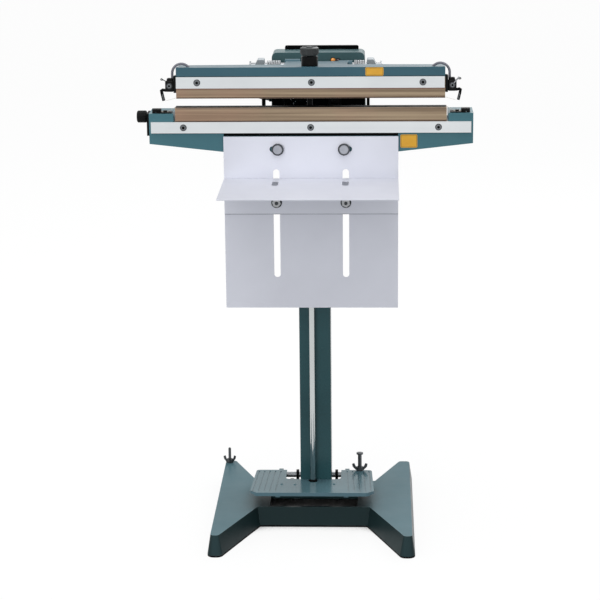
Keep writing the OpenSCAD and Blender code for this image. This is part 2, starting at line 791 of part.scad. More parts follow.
// Two bolts that slide in the long slots, with a washer and a nut in front and a washer behind.
module shelf_nuts() {
    front = flange_y - sheet_t - touch;
    color([0.7, 0.71, 0.73]) for (s = [-1, 1]) {
        rod_y_axis(s * slot_x, front - 9, plate_rear + 6, shelf_nut_z, shelf_bolt_r);
        rod_y_axis(s * slot_x, front - 1.5, front, shelf_nut_z, 9);
        translate([s * slot_x, front - 1.4, shelf_nut_z]) rotate([90, 30, 0]) cylinder(h = 6, r = 7.4, $fn = 6);
        rod_y_axis(s * slot_x, plate_rear + loose, plate_rear + loose + 3, shelf_nut_z, 9);
    }
}

// ---- Arm pivot stand ----

module pivot_uprights() {
    color([0.09, 0.1, 0.1]) for (s = [-1, 1]) {
        x = bearing_mid + s * (bearing_x - upright_inset);
        edge = x - s * upright_t / 2;
        block([x - upright_t / 2, pivot_y - bearing_d / 2, floor_z], [x + upright_t / 2, pivot_y + bearing_d / 2, upright_top]);
        block([min(edge, edge - s * 22), pivot_y - bearing_d / 2, floor_z],
              [max(edge, edge - s * 22), pivot_y + bearing_d / 2, floor_z + 5]);
    }
}

// A bearing block's outline: its outer side slopes down to a wide foot.
function bearing_side() =
    [[-bearing_w / 2, upright_top], [bearing_w / 2 + bearing_foot, upright_top],
     [bearing_w / 2 - 3, upright_top + bearing_h], [3 - bearing_w / 2, upright_top + bearing_h]];

module pivot_bearings() {
    color([0.5, 0.56, 0.58]) for (s = [-1, 1]) translate([bearing_mid + s * bearing_x, 0, 0]) difference() {
        along_y(pivot_y - bearing_d / 2, pivot_y + bearing_d / 2)
            polygon(rounded(s > 0 ? bearing_side() : mirrored(bearing_side()),
                            s > 0 ? [0.4, 0.4, 2.5, 2.5] : [2.5, 2.5, 0.4, 0.4]));
        rod_x_axis(-20, 20, pivot_y, pivot_z, pivot_r + running);
    }
}

module pivot_shaft() {
    reach = bearing_x + bearing_w / 2 + bearing_foot + 0.4;
    color([0.7, 0.71, 0.73]) union() {
        rod_x_axis(bearing_mid - reach - 3, bearing_mid + reach + 3, pivot_y, pivot_z, pivot_r);
        for (s = [-1, 1])
            rod_x_axis(bearing_mid + s * (reach + 1.2) - 1.2, bearing_mid + s * (reach + 1.2) + 1.2,
                       pivot_y, pivot_z, pivot_r + 3);
    }
}

// Torsion springs round the shaft, drawn as plain sleeves of the coils' size.
module return_springs() {
    color([0.2, 0.2, 0.22]) for (s = [-1, 1]) {
        inner = barrel_x + s * (barrel_half + 1.5);
        outer = bearing_mid + s * (bearing_x - bearing_w / 2 - 0.5);
        difference() {
            rod_x_axis(min(inner, outer), max(inner, outer), pivot_y, pivot_z, pivot_r + 4.5);
            rod_x_axis(min(inner, outer) - 1, max(inner, outer) + 1, pivot_y, pivot_z, pivot_r + 1.2);
        }
    }
}

// The switch that starts the timer, on its own stand below the arm's tongue.
module microswitch() {
    x = barrel_x - tongue_half - 2.5;
    y = pivot_y - 58;
    color([0.1, 0.1, 0.1]) union() {
        block([x - 3, y - 14, floor_z], [x, y + 14, pivot_z - 30]);
        block([x - 3, y - 14, floor_z], [x + 18, y + 14, floor_z + 3]);
        block([x - eps, y - 12, pivot_z - 44], [x + 11, y + 12, pivot_z - 26]);
        rod_z_axis(x + 5.5, y, pivot_z - 27, pivot_z - tongue_drop - loose, 2.5);
    }
}

// ---- Control box ----

// Half width of the box at height z: its sides lean in a little towards the top.
function box_side(z) = box_half - box_lean * (z - floor_z) / box_h;

function box_profile(inset) =
    rounded([[box_x - box_half + inset, floor_z + inset], [box_x + box_half - inset, floor_z + inset],
             [box_x + box_half - inset - box_lean, box_top - inset],
             [box_x - box_half + inset + box_lean, box_top - inset]],
            [1.2, 1.2, box_corner - inset, box_corner - inset]);

// The box from the side: a flat top that slopes down to the rear cover.
module box_form(inset, y0, y1) {
    slope = (box_top - box_rear_top) / (box_rear - box_slope_y);
    intersection() {
        along_y(y0, y1) polygon(box_profile(inset));
        along_x(box_x - box_half - 1, box_x + box_half + 1)
            polygon([[y0 - 1, floor_z - 1], [y1 + 1, floor_z - 1],
                     [y1 + 1, box_rear_top - inset * 1.1 - slope * (y1 + 1 - box_rear)],
                     [box_slope_y, box_top - inset * 1.1], [y0 - 1, box_top - inset * 1.1]]);
    }
}

module control_box_shell() {
    color([0.24, 0.41, 0.44]) difference() {
        box_form(0, box_front, box_rear);
        box_form(box_wall, box_front + box_wall, box_rear + 1);
        rod_y_axis(knob_at[0], box_front - 1, box_front + 5, knob_at[1], 3.5);
        block([switch_at[0] - 10, box_front - 1, switch_at[1] - 14], [switch_at[0] + 10, box_front + 5, switch_at[1] + 14]);
        for (p = lamp_at) rod_y_axis(p[0], box_front - 1, box_front + 5, lamp_z, p[1] / 2 - 1);
        rod_x_axis(box_x - box_half - 2, box_x - box_half + 5, box_front + 30, gland_z, 8 + bolt_gap);
    }
}

module control_box_rear_cover() {
    color([0.24, 0.41, 0.44]) difference() {
        intersection() {
            along_y(box_rear + touch, box_rear + touch + box_wall) polygon(box_profile(0));
            block([box_x - box_half - 1, box_rear, floor_z - 1], [box_x + box_half + 1, box_rear + 9, box_rear_top]);
        }
        for (i = [0:7])
            block([box_x - 50, box_rear - 1, floor_z + 28 + 9 * i], [box_x + 50, box_rear + 6, floor_z + 32 + 9 * i]);
    }
}

// A rail that lines the top's rear edge, ahead of the slope.
module box_top_rail() {
    color([0.04, 0.04, 0.05]) along_y(box_slope_y - rail_d, box_slope_y)
        polygon(rounded(rect(rail_x - rail_half, box_top + touch, rail_x + rail_half, box_top + touch + rail_h),
                        [1, 1, 3.2, 3.2]));
}

module case_screws() {
    color([0.3, 0.3, 0.32]) for (x = [-1, 1], z = [14, box_rear_top - floor_z - 15])
        rod_y_axis(box_x + x * (box_half - 12), box_rear + box_wall + 2 * touch, box_rear + box_wall + 2,
                   floor_z + z, 3.2);
}

module front_panel() {
    color([0.05, 0.05, 0.06]) difference() {
        block([box_x - panel_half, box_front - 1.6, floor_z + panel_low],
              [box_x + panel_half, box_front - touch, floor_z + panel_low + panel_h]);
        rod_y_axis(knob_at[0], box_front - 3, box_front + 1, knob_at[1], 3.5);
        block([switch_at[0] - 10, box_front - 3, switch_at[1] - 14], [switch_at[0] + 10, box_front + 1, switch_at[1] + 14]);
    }
}

module transformer_core() {
    color([0.35, 0.36, 0.38]) translate(core_at) difference() {
        block([-42, -18, 0], [42, 18, 70]);
        block([-28, -20, 14], [-14, 20, 56]);
        block([14, -20, 14], [28, 20, 56]);
    }
}

module transformer_coil() {
    color([0.72, 0.42, 0.18]) translate(core_at) difference() {
        block([-27.5, -31, 14.5], [27.5, 31, 55.5]);
        block([-14 - touch, -18 - touch, 10], [14 + touch, 18 + touch, 60]);
    }
}

module timer_board() {
    x = box_x + 48;
    color([0.1, 0.35, 0.2]) union() {
        block([x, box_front + 22, floor_z + 22], [x + 1.6, box_front + 100, floor_z + 84]);
        block([x - 14, box_front + 34, floor_z + 40], [x + eps, box_front + 50, floor_z + 60]);
        rod_x_axis(x - 16, x + eps, box_front + 74, floor_z + 52, 7);
        for (y = [28, 94], z = [27, 79])
            rod_x_axis(x + 1.5, box_x + box_side(floor_z + z + 3) - box_wall - touch, box_front + y, floor_z + z, 2.4);
    }
}

module timer_knob() {
    color([0.05, 0.05, 0.05]) difference() {
        union() {
            rod_y_axis(knob_at[0], box_front - 15, box_front - 2, knob_at[1], 11);
            rod_y_axis(knob_at[0], box_front - 3, box_front + 12, knob_at[1], 3);
        }
        translate([knob_at[0], 0, knob_at[1] + 10]) block([-0.8, box_front - 16, -6], [0.8, box_front - 14, 2]);
    }
}

module power_switch() {
    color([0.06, 0.06, 0.06]) difference() {
        union() {
            block([switch_at[0] - 11.5, box_front - 3.4, switch_at[1] - 15.5],
                  [switch_at[0] + 11.5, box_front - 1.6 - touch, switch_at[1] + 15.5]);
            block([switch_at[0] - 9.5, box_front - 2, switch_at[1] - 13.5],
                  [switch_at[0] + 9.5, box_front + 18, switch_at[1] + 13.5]);
        }
        block([switch_at[0] - 7.5, box_front - 5, switch_at[1] - 12], [switch_at[0] + 7.5, box_front + 9, switch_at[1] + 12]);
        rod_x_axis(switch_at[0] - 8.7, switch_at[0] + 8.7, box_front - 1, switch_at[1], rocker_pin + running);
    }
}

module power_rocker() {
    color([0.1, 0.1, 0.11]) translate([switch_at[0], box_front - 1, switch_at[1]]) {
        rotate([-8, 0, 0])
            along_x(-7, 7) polygon([[2, -10], [-3, -10.3], [-1.6, 0], [-3, 10.3], [2, 10], [6, 0]]);
        rod_x_axis(-8.3, 8.3, 0, 0, rocker_pin);
    }
}

module pilot_lamps() {
    color([0.95, 0.6, 0.1]) for (p = lamp_at) union() {
        rod_y_axis(p[0], box_front - 3.5, box_front - touch, lamp_z, p[1] / 2);
        translate([p[0], box_front - 3.5, lamp_z]) sphere(r = p[1] / 2 - 0.6);
        rod_y_axis(p[0], box_front - 1, box_front + 12, lamp_z, p[1] / 2 - 1.2);
    }
}

// The mains inlet's strain relief on the left wall of the box.
module inlet_gland() {
    x = box_x - box_side(gland_z - gland_r);
    color([0.05, 0.05, 0.05]) difference() {
        union() {
            rod_x_axis(x - 6, x - 0.1, box_front + 30, gland_z, gland_r + 1.5);
            translate([x - 6 + eps, box_front + 30, gland_z]) rotate([0, -90, 0]) cylinder(h = gland_l, r1 = gland_r, r2 = 6);
            rod_x_axis(x - 1, x + 14, box_front + 30, gland_z, 8);
            rod_x_axis(x + box_wall + 0.6, x + box_wall + 5, box_front + 30, gland_z, 11);
        }
        rod_x_axis(x - gland_l - 10, x + 20, box_front + 30, gland_z, 3.6);
    }
}

// ---- Upper arm, drawn closed ----

function beam_profile() =
    [[body_front, beam_z], [body_front, upper_strip_top + 0.3], [body_front - face_lip, upper_strip_top + 0.8],
     [body_front - face_lip, beam_top], [beam_rear, beam_top], [beam_rear, beam_z + 6], [beam_rear - 7, beam_z]];

// Plan of the beam's hollow, which follows the rear edge's taper to the ends.
function beam_hollow() =
    let (x = arm_half - beam_wall, y = beam_rear - beam_wall, y0 = body_front + 7)
    [[-x, y0], [x, y0], [x, y - wing_cut], [wing_x, y], [-wing_x, y], [-x, y - wing_cut]];

module upper_arm() {
    color([0.27, 0.45, 0.48]) arm_at_rest() difference() {
        union() {
            difference() {
                along_x(-arm_half, arm_half) polygon(beam_profile());
                translate([0, 0, beam_z - 1]) linear_extrude(beam_h - beam_wall + 1) polygon(beam_hollow());
                both_sides() translate([0, 0, beam_z - 1]) linear_extrude(beam_h + 2)
                    polygon([[wing_x, beam_rear + 1], [wing_x, beam_rear], [arm_half + 1, beam_rear - wing_cut],
                             [arm_half + 1, beam_rear + 1]]);
            }
            translate([barrel_x, 0, 0]) {
                block([-tongue_half, beam_rear - beam_wall, beam_top - beam_wall], [tongue_half, tongue_end, beam_top]);
                for (x = [-tongue_half, tongue_half - 6])
                    block([x, beam_rear - beam_wall, pivot_z - tongue_drop], [x + 6, pivot_y, beam_top - 1]);
                block([-3, beam_rear - beam_wall, pivot_z - tongue_drop], [3, tongue_end, beam_top - 1]);
                for (e = ears)
                    rod_x_axis(e[0], e[1], pivot_y, pivot_z, e[2]);
            }
        }
        rod_x_axis(-arm_half, arm_half, pivot_y, pivot_z, pivot_r + running);
        rod_z_axis(rod_x, rod_y, beam_z, beam_top + 1, arm_hole_r);
        for (x = upper_screw_x)
            rod_y_axis(x, body_front - 1, body_front + 8, upper_strip_z + strip_h / 2, 2 + bolt_gap);
    }
}

module upper_jaw_bar() {
    color([0.78, 0.79, 0.8]) arm_at_rest()
        block([-arm_half, jaw_front, upper_jaw_z], [arm_half, jaw_rear, upper_jaw_z + upper_jaw_h]);
}

module upper_heating_ribbon() {
    drop = 4.7;
    color([0.8, 0.78, 0.7]) arm_at_rest() along_y(ribbon_y - ribbon_w / 2, ribbon_y + ribbon_w / 2)
        polygon(strip([[-arm_half - 17.8, upper_ribbon_z - drop], [-arm_half - 1, upper_ribbon_z],
                       [arm_half + 1, upper_ribbon_z], [arm_half + 17.8, upper_ribbon_z - drop]], ribbon_t));
}

module upper_ptfe_cloth() {
    color([0.6, 0.5, 0.4]) arm_at_rest() difference() {
        along_x(-arm_half, arm_half) difference() {
            polygon(rect(cloth_front, upper_cloth_z, jaw_rear + touch + cloth_t, upper_strip_top - 2));
            polygon(rect(cloth_front + cloth_t, upper_cloth_z + cloth_t, jaw_rear + touch, upper_strip_top));
            polygon(rect(jaw_rear, upper_jaw_z + upper_jaw_h - 4, jaw_rear + 2, upper_strip_top));
        }
        cloth_holes(upper_screw_x, upper_strip_z);
    }
}

module upper_clamp_strip() {
    color([0.86, 0.87, 0.87]) arm_at_rest() clamp_strip(-arm_half, arm_half - 1, upper_strip_z, upper_screw_x);
}

module upper_strip_screws() {
    color([0.45, 0.46, 0.47]) arm_at_rest() strip_screws(upper_screw_x, upper_strip_z, strip_t + 8);
}

// The ribbon's insulated end block and its tension lever, on each end of the arm.
module upper_terminals() {
    x = -arm_half - touch;
    color([0.07, 0.07, 0.08]) arm_at_rest() both_sides() {
        block([x - 5, ribbon_y - 8, upper_ribbon_z + 9], [x, ribbon_y + 14, beam_top - 14]);
        block([x - 21, ribbon_y - 6, upper_ribbon_z + 10.5], [x - 5 + eps, ribbon_y + 10, upper_ribbon_z + 30]);
        along_y(ribbon_y - 3, ribbon_y + 3)
            polygon([[x - 20, upper_ribbon_z + 15], [x - 27.5, upper_ribbon_z + 15], [x - 22.5, upper_ribbon_z - 5.6],
                     [x - 18, upper_ribbon_z - 4.6], [x - 22, upper_ribbon_z + 12], [x - 20, upper_ribbon_z + 12]]);
        translate([x - 18, ribbon_y, upper_ribbon_z + 25]) rotate([0, -62, 0]) cylinder(h = 11, r = 0.9);
    }
}

// A short lead that arches from the beam's top to each end block.
module heater_leads() {
    bend = 16;
    centre = [-arm_half + 8, ribbon_y + 6, beam_top - 10.5];
    color([0.45, 0.45, 0.48]) arm_at_rest() both_sides() {
        difference() {
            translate(centre) rotate([90, 0, 0]) rotate_extrude() translate([bend, 0]) circle(r = lead_r);
            block(centre - [2 * bend, bend, 2 * bend], centre + [2 * bend, bend, 0]);
            block(centre - [0, bend, 1], [centre[0] + 2 * bend, centre[1] + bend, beam_top + touch]);
        }
        rod_z_axis(centre[0] - bend, centre[1], upper_ribbon_z + 30 + touch, centre[2] + eps, lead_r);
    }
}

module upper_label() {
    color([0.93, 0.69, 0.2]) arm_at_rest()
        block([94, body_front - face_lip - label_t, upper_strip_top + 1.2],
              [94 + label_w + 2, body_front - face_lip, beam_top - 0.6]);
}

module spring_sleeve() {
    color([0.04, 0.04, 0.05]) arm_at_rest() translate([rod_x, rod_y, beam_top + touch]) difference() {
        cylinder(h = sleeve_h, r = sleeve_r);
        translate([0, 0, -1]) cylinder(h = sleeve_h + 2, r = sleeve_bore);
    }
}

// ---- Pull rod ----

module pull_rod() {
    color([0.85, 0.86, 0.87]) rod_z_axis(rod_x, rod_y, rod_bottom, cap_z + cap_h - 3, rod_r);
}

// A ball-faced nut that the pedal's hole sits on, with a lock nut under it.
module rod_nuts() {
    color([0.6, 0.61, 0.63]) translate([rod_x, rod_y, 0]) difference() {
        union() {
            intersection() {
                translate([0, 0, ball_z]) sphere(r = ball_r);
                translate([0, 0, ball_z - 4]) cylinder(h = 30, r = ball_r);
            }
            translate([0, 0, rod_bottom + 2]) cylinder(h = ball_z - 4 - rod_bottom - 2 + eps, r = 9, $fn = 6);
        }
        translate([0, 0, rod_bottom - 1]) cylinder(h = 60, r = rod_r + eps);
    }
}

// The spring between the cap and the arm, drawn as a plain sleeve of the coil's size.
module buffer_spring() {
    low = cap_z - cap_gap - sleeve_h + 3;
    color([0.5, 0.5, 0.52]) difference() {
        rod_z_axis(rod_x, rod_y, low, cap_z, rod_r + 3.6);
        rod_z_axis(rod_x, rod_y, low - 1, cap_z + 1, rod_r + 1);
    }
}

module pressure_cap() {
    color([0.3, 0.31, 0.32]) translate([rod_x, rod_y, cap_z + touch]) difference() {
        union() {
            cylinder(h = cap_h - 4, r = cap_r);
            translate([0, 0, cap_h - 4 - eps]) cylinder(h = 4, r1 = cap_r - 0.5, r2 = cap_r - 3.5);
        }
        for (a = [0:15:345]) rotate([0, 0, a]) translate([cap_r + 0.6, 0, -1]) cylinder(h = cap_h - 4, r = 1.3);
        translate([0, 0, -1]) cylinder(h = cap_h - 2 + touch, r = rod_r + running);
    }
}

base_shell();
base_edge_trim();
column();
frame_bolts();
pedal_brackets();
pedal_shaft();
levelling_screw();
levelling_wing_nut();
lower_body();
rod_guide_bush();
lower_jaw_bar();
lower_silicone_pad();
lower_heating_ribbon();
lower_ptfe_cloth();
lower_clamp_strip();
lower_strip_screws();
lower_terminals();
lower_label();
end_plate();
end_knob();
work_plate();
work_plate_knob_left();
work_plate_knob_right();
shelf_bracket();
shelf_nuts();
pivot_uprights();
pivot_bearings();
pivot_shaft();
return_springs();
microswitch();
control_box_shell();
control_box_rear_cover();
box_top_rail();
case_screws();
front_panel();
transformer_core();
transformer_coil();
timer_board();
timer_knob();
power_switch();
power_rocker();
pilot_lamps();
inlet_gland();
upper_arm();
upper_jaw_bar();
upper_heating_ribbon();
upper_ptfe_cloth();
upper_clamp_strip();
upper_strip_screws();
upper_terminals();
heater_leads();
upper_label();
spring_sleeve();
pull_rod();
rod_nuts();
buffer_spring();
pressure_cap();
pedal_plate();
limit_screw();
limit_wing_nut();
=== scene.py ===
import json
import math

import bmesh
import bpy
from mathutils import Matrix, Vector


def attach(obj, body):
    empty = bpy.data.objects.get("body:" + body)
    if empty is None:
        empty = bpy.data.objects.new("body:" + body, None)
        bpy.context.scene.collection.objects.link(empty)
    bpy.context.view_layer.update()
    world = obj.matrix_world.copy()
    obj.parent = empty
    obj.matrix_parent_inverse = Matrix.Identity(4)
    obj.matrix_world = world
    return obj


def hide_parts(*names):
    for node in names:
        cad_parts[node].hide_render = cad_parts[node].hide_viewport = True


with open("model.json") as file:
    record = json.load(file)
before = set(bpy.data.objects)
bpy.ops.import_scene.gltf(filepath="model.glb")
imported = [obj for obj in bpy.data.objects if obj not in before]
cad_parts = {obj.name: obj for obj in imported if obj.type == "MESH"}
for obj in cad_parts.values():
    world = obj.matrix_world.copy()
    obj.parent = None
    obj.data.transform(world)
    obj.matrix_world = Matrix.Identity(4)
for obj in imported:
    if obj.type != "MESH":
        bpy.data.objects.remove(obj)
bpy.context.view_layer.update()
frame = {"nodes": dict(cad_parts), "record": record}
record = frame["record"]
bodyOf = {node: body for body, nodes in record["behaviour"]["bodies"].items() for node in nodes}
slotOf = {part["node"]: part["material_slot"] for part in record["subparts"]}
mm = 0.001
bpy.ops.object.select_all(action="DESELECT")
print("frame loaded:", len(frame["nodes"]), "nodes")

camera = {"place": (0.11772, -3.54544, 1.32770), "yaw": 2.29, "pitch": 14.68, "roll": -0.57, "lens": 122.92}


def placeCamera():
    bpy.ops.object.camera_add(location=camera["place"])
    eye = bpy.context.object
    eye.name = "studioCamera"
    turn = (Matrix.Rotation(math.radians(camera["yaw"]), 4, "Z")
            @ Matrix.Rotation(math.radians(90 - camera["pitch"]), 4, "X")
            @ Matrix.Rotation(math.radians(camera["roll"]), 4, "Z"))
    eye.matrix_world = Matrix.Translation(camera["place"]) @ turn
    eye.data.lens = camera["lens"]
    eye.data.sensor_width = 36
    eye.data.clip_end = 60
    bpy.context.scene.camera = eye


def rgba(text, alpha=1.0):
    parts = [int(text[i:i + 2], 16) / 255 for i in (0, 2, 4)]
    return tuple(p / 12.92 if p <= 0.04045 else ((p + 0.055) / 1.055) ** 2.4 for p in parts) + (alpha,)


def add(tree, kind, values=(), **settings):
    made = tree.nodes.new("ShaderNode" + kind)
    for key, value in settings.items():
        setattr(made, key, value)
    for socket, value in dict(values).items():
        if isinstance(value, bpy.types.NodeSocket):
            tree.links.new(value, made.inputs[socket])
        else:
            made.inputs[socket].default_value = value
    return made


def spanOf(tree, value, low, high, toLow=0.0, toHigh=1.0):
    return add(tree, "MapRange", {"Value": value, "From Min": low, "From Max": high,
                                  "To Min": toLow, "To Max": toHigh}).outputs[0]


def seenDirectly(tree):
    path = add(tree, "LightPath")
    either = add(tree, "Math", {0: path.outputs["Is Camera Ray"], 1: path.outputs["Is Glossy Ray"]},
                 operation="MAXIMUM")
    return add(tree, "Math", {0: either.outputs[0], 1: path.outputs["Is Transmission Ray"]},
               operation="MAXIMUM").outputs[0]


studio = {"ambient": 0.82, "floorShadow": 0.1, "floorSize": 46, "floorDrop": 0.0004, "hollowReach": 0.11,
          "hollowDark": 0.16, "hollowPale": 0.4}


def buildStudio():
    bpy.ops.mesh.primitive_plane_add(size=studio["floorSize"], location=(0, 0, -studio["floorDrop"]))
    floor = bpy.context.object
    floor.name = "studioFloor"
    floor.data.materials.append(bpy.data.materials.new("paleFloor"))
    floor.data.materials[0].use_nodes = True
    tree = floor.data.materials[0].node_tree
    tree.nodes.clear()
    seen = seenDirectly(tree)
    tone = add(tree, "Mix", {0: seen, 6: rgba("585c5e"), 7: rgba("f7f8f8")}, data_type="RGBA")
    # Painted shade on the floor: its glow is dimmed by ambient occlusion, so it is dark inside the hollow base.
    clear = add(tree, "AmbientOcclusion", {"Distance": studio["hollowReach"]}, samples=12).outputs["AO"]
    bright = spanOf(tree, clear, studio["hollowDark"], studio["hollowPale"])
    matte = add(tree, "BsdfDiffuse", {"Color": tone.outputs[2]})
    glow = add(tree, "Emission", {"Color": (1, 1, 1, 1), "Strength": bright})
    share = add(tree, "Math", {0: seen, 1: 1 - studio["floorShadow"]}, operation="MULTIPLY")
    mixed = add(tree, "MixShader", {0: share.outputs[0], 1: matte.outputs[0], 2: glow.outputs[0]})
    add(tree, "OutputMaterial", {"Surface": mixed.outputs[0]})

    world = bpy.data.worlds.new("paleRoom")
    bpy.context.scene.world = world
    world.use_nodes = True
    tree = world.node_tree
    tree.nodes.clear()
    seen = seenDirectly(tree)
    level = add(tree, "MapRange", {"Value": seen, "To Min": studio["ambient"], "To Max": 1.0})
    sky = add(tree, "Background", {"Color": (1, 1, 1, 1), "Strength": level.outputs[0]})
    add(tree, "OutputWorld", {"Surface": sky.outputs[0]})


lamps = [
    {"name": "overheadLamp", "place": (-0.35, -0.5, 3.0), "aim": (0, 0, 0.3), "size": (2.2, 1.6), "power": 20},
    {"name": "frontLamp", "place": (-1.0, -3.4, 0.75), "aim": (0, 0, 0.5), "size": (1.6, 1.0), "power": 44,
     "matte": True},
    {"name": "rearLamp", "place": (0.9, 2.2, 2.4), "aim": (0, 0, 0.6), "size": (1.6, 1.2), "power": 26},
]


def hangLamps():
    for lamp in lamps:
        bpy.ops.object.light_add(type="AREA", location=lamp["place"])
        made = bpy.context.object
        made.name = lamp["name"]
        made.data.shape = "RECTANGLE"
        made.data.size, made.data.size_y = lamp["size"]
        made.data.energy = lamp["power"]
        made.visible_glossy = not lamp.get("matte")
        toward = Vector(lamp["aim"]) - Vector(lamp["place"])
        made.rotation_euler = toward.to_track_quat("-Z", "Y").to_euler()


placeCamera()
buildStudio()
hangLamps()
bpy.context.scene.view_settings.view_transform = "Standard"
print("camera, floor and lamps placed")


def newFinish(name):
    made = bpy.data.materials.new(name)
    made.use_nodes = True
    tree = made.node_tree
    where = add(tree, "TexCoord").outputs["Object"]
    return made, tree, tree.nodes["Principled BSDF"], where


def noise(tree, where, scale, detail=2.0, stretch=None):
    if stretch:
        where = add(tree, "Mapping", {"Vector": where, "Scale": stretch}).outputs[0]
    return add(tree, "TexNoise", {"Vector": where, "Scale": scale, "Detail": detail}).outputs["Fac"]


def mixColour(tree, share, first, second):
    return add(tree, "Mix", {0: share, 6: first, 7: second}, data_type="RGBA").outputs[2]


def times(tree, first, second):
    return add(tree, "Math", {0: first, 1: second}, operation="MULTIPLY", use_clamp=True).outputs[0]


def bumpFrom(tree, height, distance, strength=0.5, under=None):
    values = {"Height": height, "Distance": distance, "Strength": strength}
    if under:
        values["Normal"] = under
    return add(tree, "Bump", values).outputs[0]


def edgeMask(tree, width, low=0.03, high=0.25):
    rounded = add(tree, "Bevel", {"Radius": width}, samples=4).outputs[0]
    plain = add(tree, "NewGeometry").outputs["Normal"]
    along = add(tree, "VectorMath", {0: rounded, 1: plain}, operation="DOT_PRODUCT").outputs["Value"]
    return spanOf(tree, along, 1 - low, 1 - high)


def setShader(tree, shader, **values):
    names = {"colour": "Base Color", "rough": "Roughness", "metal": "Metallic", "normal": "Normal",
             "coat": "Coat Weight", "coatRough": "Coat Roughness", "specular": "Specular IOR Level",
             "glow": "Emission Color", "glowPower": "Emission Strength"}
    for key, value in values.items():
        socket = shader.inputs[names[key]]
        if isinstance(value, bpy.types.NodeSocket):
            tree.links.new(value, socket)
        else:
            socket.default_value = value


# Sprayed enamel: a cloudy tone, orange peel, fine dark specks and thin wear on the edges. Given a side colour it also
# carries painted light: open faces that look up keep the paler tone, while the sides and occluded spots take the side
# colour as painted shade.
def enamel(name, colour, deep, worn, rough=(0.3, 0.42), peel=0.00012, wear=0.35, specular=0.3, side=None):
    made, tree, shader, where = newFinish(name)
    cloud = spanOf(tree, noise(tree, where, 7, 4), 0.35, 0.68)
    tone = mixColour(tree, cloud, rgba(deep), rgba(colour))
    if side:  # painted shade: sides and occluded spots turn to the side colour, open upward faces stay paler
        litFromAbove = add(tree, "SeparateXYZ", {0: add(tree, "NewGeometry").outputs["Normal"]}).outputs[2]
        clear = add(tree, "AmbientOcclusion", {"Distance": 0.12}, samples=8).outputs["AO"]
        litFromAbove = times(tree, spanOf(tree, litFromAbove, 0.3, 0.75), spanOf(tree, clear, 0.35, 0.7))
        tone = mixColour(tree, litFromAbove, rgba(side), tone)
    speck = spanOf(tree, noise(tree, where, 900, 2), 0.66, 0.78, 0, 0.35)
    tone = mixColour(tree, speck, tone, rgba(deep))
    rub = times(tree, edgeMask(tree, 0.0009), spanOf(tree, noise(tree, where, 60, 4), 0.42, 0.62, 0, wear))
    tone = mixColour(tree, rub, tone, rgba(worn))
    matt = spanOf(tree, noise(tree, where, 22, 3), 0.3, 0.7, rough[0], rough[1])
    skin = bumpFrom(tree, noise(tree, where, 420, 1), peel, 0.35)
    skin = bumpFrom(tree, noise(tree, where, 30, 2), peel * 5, 0.2, skin)
    setShader(tree, shader, colour=tone, rough=matt, normal=skin, specular=specular)
    return made


# Metal that was drawn or milled along one axis; stretch makes the fine lines.
def drawnMetal(name, colour, deep, stretch, rough=(0.25, 0.4), lines=0.00004, tarnish=0.5):
    made, tree, shader, where = newFinish(name)
    fine = noise(tree, where, 60, 4, stretch)
    cloud = noise(tree, where, 12, 3)
    tone = mixColour(tree, times(tree, spanOf(tree, cloud, 0.4, 0.7), tarnish), rgba(colour), rgba(deep))
    tone = mixColour(tree, spanOf(tree, fine, 0.35, 0.75, 0, 0.25), tone, rgba(deep))
    matt = spanOf(tree, fine, 0.3, 0.7, rough[0], rough[1])
    setShader(tree, shader, colour=tone, rough=matt, metal=1.0, normal=bumpFrom(tree, fine, lines, 0.4))
    return made


# Moulded plastic or rubber with a fine spark-eroded grain.
def moulded(name, colour, pale, rough=(0.4, 0.55), grain=0.00008, scale=700, specular=0.3):
    made, tree, shader, where = newFinish(name)
    tone = mixColour(tree, spanOf(tree, noise(tree, where, 25, 4), 0.4, 0.75), rgba(colour), rgba(pale))
    rub = times(tree, edgeMask(tree, 0.0006), spanOf(tree, noise(tree, where, 90, 3), 0.4, 0.65, 0, 0.4))
    tone = mixColour(tree, rub, tone, rgba(pale))
    matt = spanOf(tree, noise(tree, where, 40, 2), 0.3, 0.7, rough[0], rough[1])
    setShader(tree, shader, colour=tone, rough=matt, specular=specular,
              normal=bumpFrom(tree, noise(tree, where, scale, 2), grain, 0.4))
    return made


# Coated glass cloth: a square weave under a brown skin, with scorched and rubbed bands along the jaw.
def tapeCloth(name, colour, deep, glow):
    made, tree, shader, where = newFinish(name)
    warp = add(tree, "TexWave", {"Vector": where, "Scale": 380, "Distortion": 0.6, "Detail": 1},
               bands_direction="X", wave_type="BANDS").outputs["Fac"]
    weft = add(tree, "TexWave", {"Vector": where, "Scale": 380, "Distortion": 0.6, "Detail": 1},
               bands_direction="Z", wave_type="BANDS").outputs["Fac"]
    weave = add(tree, "Math", {0: warp, 1: weft}, operation="MULTIPLY").outputs[0]
    bands = noise(tree, where, 30, 3, (0.07, 1, 7))
    tone = mixColour(tree, spanOf(tree, bands, 0.38, 0.62), rgba(deep), rgba(colour))
    blush = spanOf(tree, noise(tree, where, 9, 2, (1, 1, 0.4)), 0.5, 0.75, 0, 0.5)
    tone = mixColour(tree, blush, tone, rgba(glow))
    tone = mixColour(tree, spanOf(tree, weave, 0, 1, 0.22, 0), tone, rgba(deep))
    skin = bumpFrom(tree, weave, 0.00006, 0.5)
    skin = bumpFrom(tree, noise(tree, where, 45, 3, (0.3, 1, 2)), 0.0006, 0.35, skin)
    setShader(tree, shader, colour=tone, rough=spanOf(tree, bands, 0.3, 0.7, 0.34, 0.5), normal=skin)
    return made


# Printed film: flat colour with faint ink mottling and a rubbed corner.
def film(name, colour, deep):
    made, tree, shader, where = newFinish(name)
    tone = mixColour(tree, spanOf(tree, noise(tree, where, 70, 4), 0.35, 0.7), rgba(colour), rgba(deep))
    setShader(tree, shader, colour=tone, rough=spanOf(tree, noise(tree, where, 120, 2), 0.3, 0.7, 0.28, 0.42),
              coat=0.3, coatRough=0.15, normal=bumpFrom(tree, noise(tree, where, 250, 2), 0.00005, 0.3))
    return made


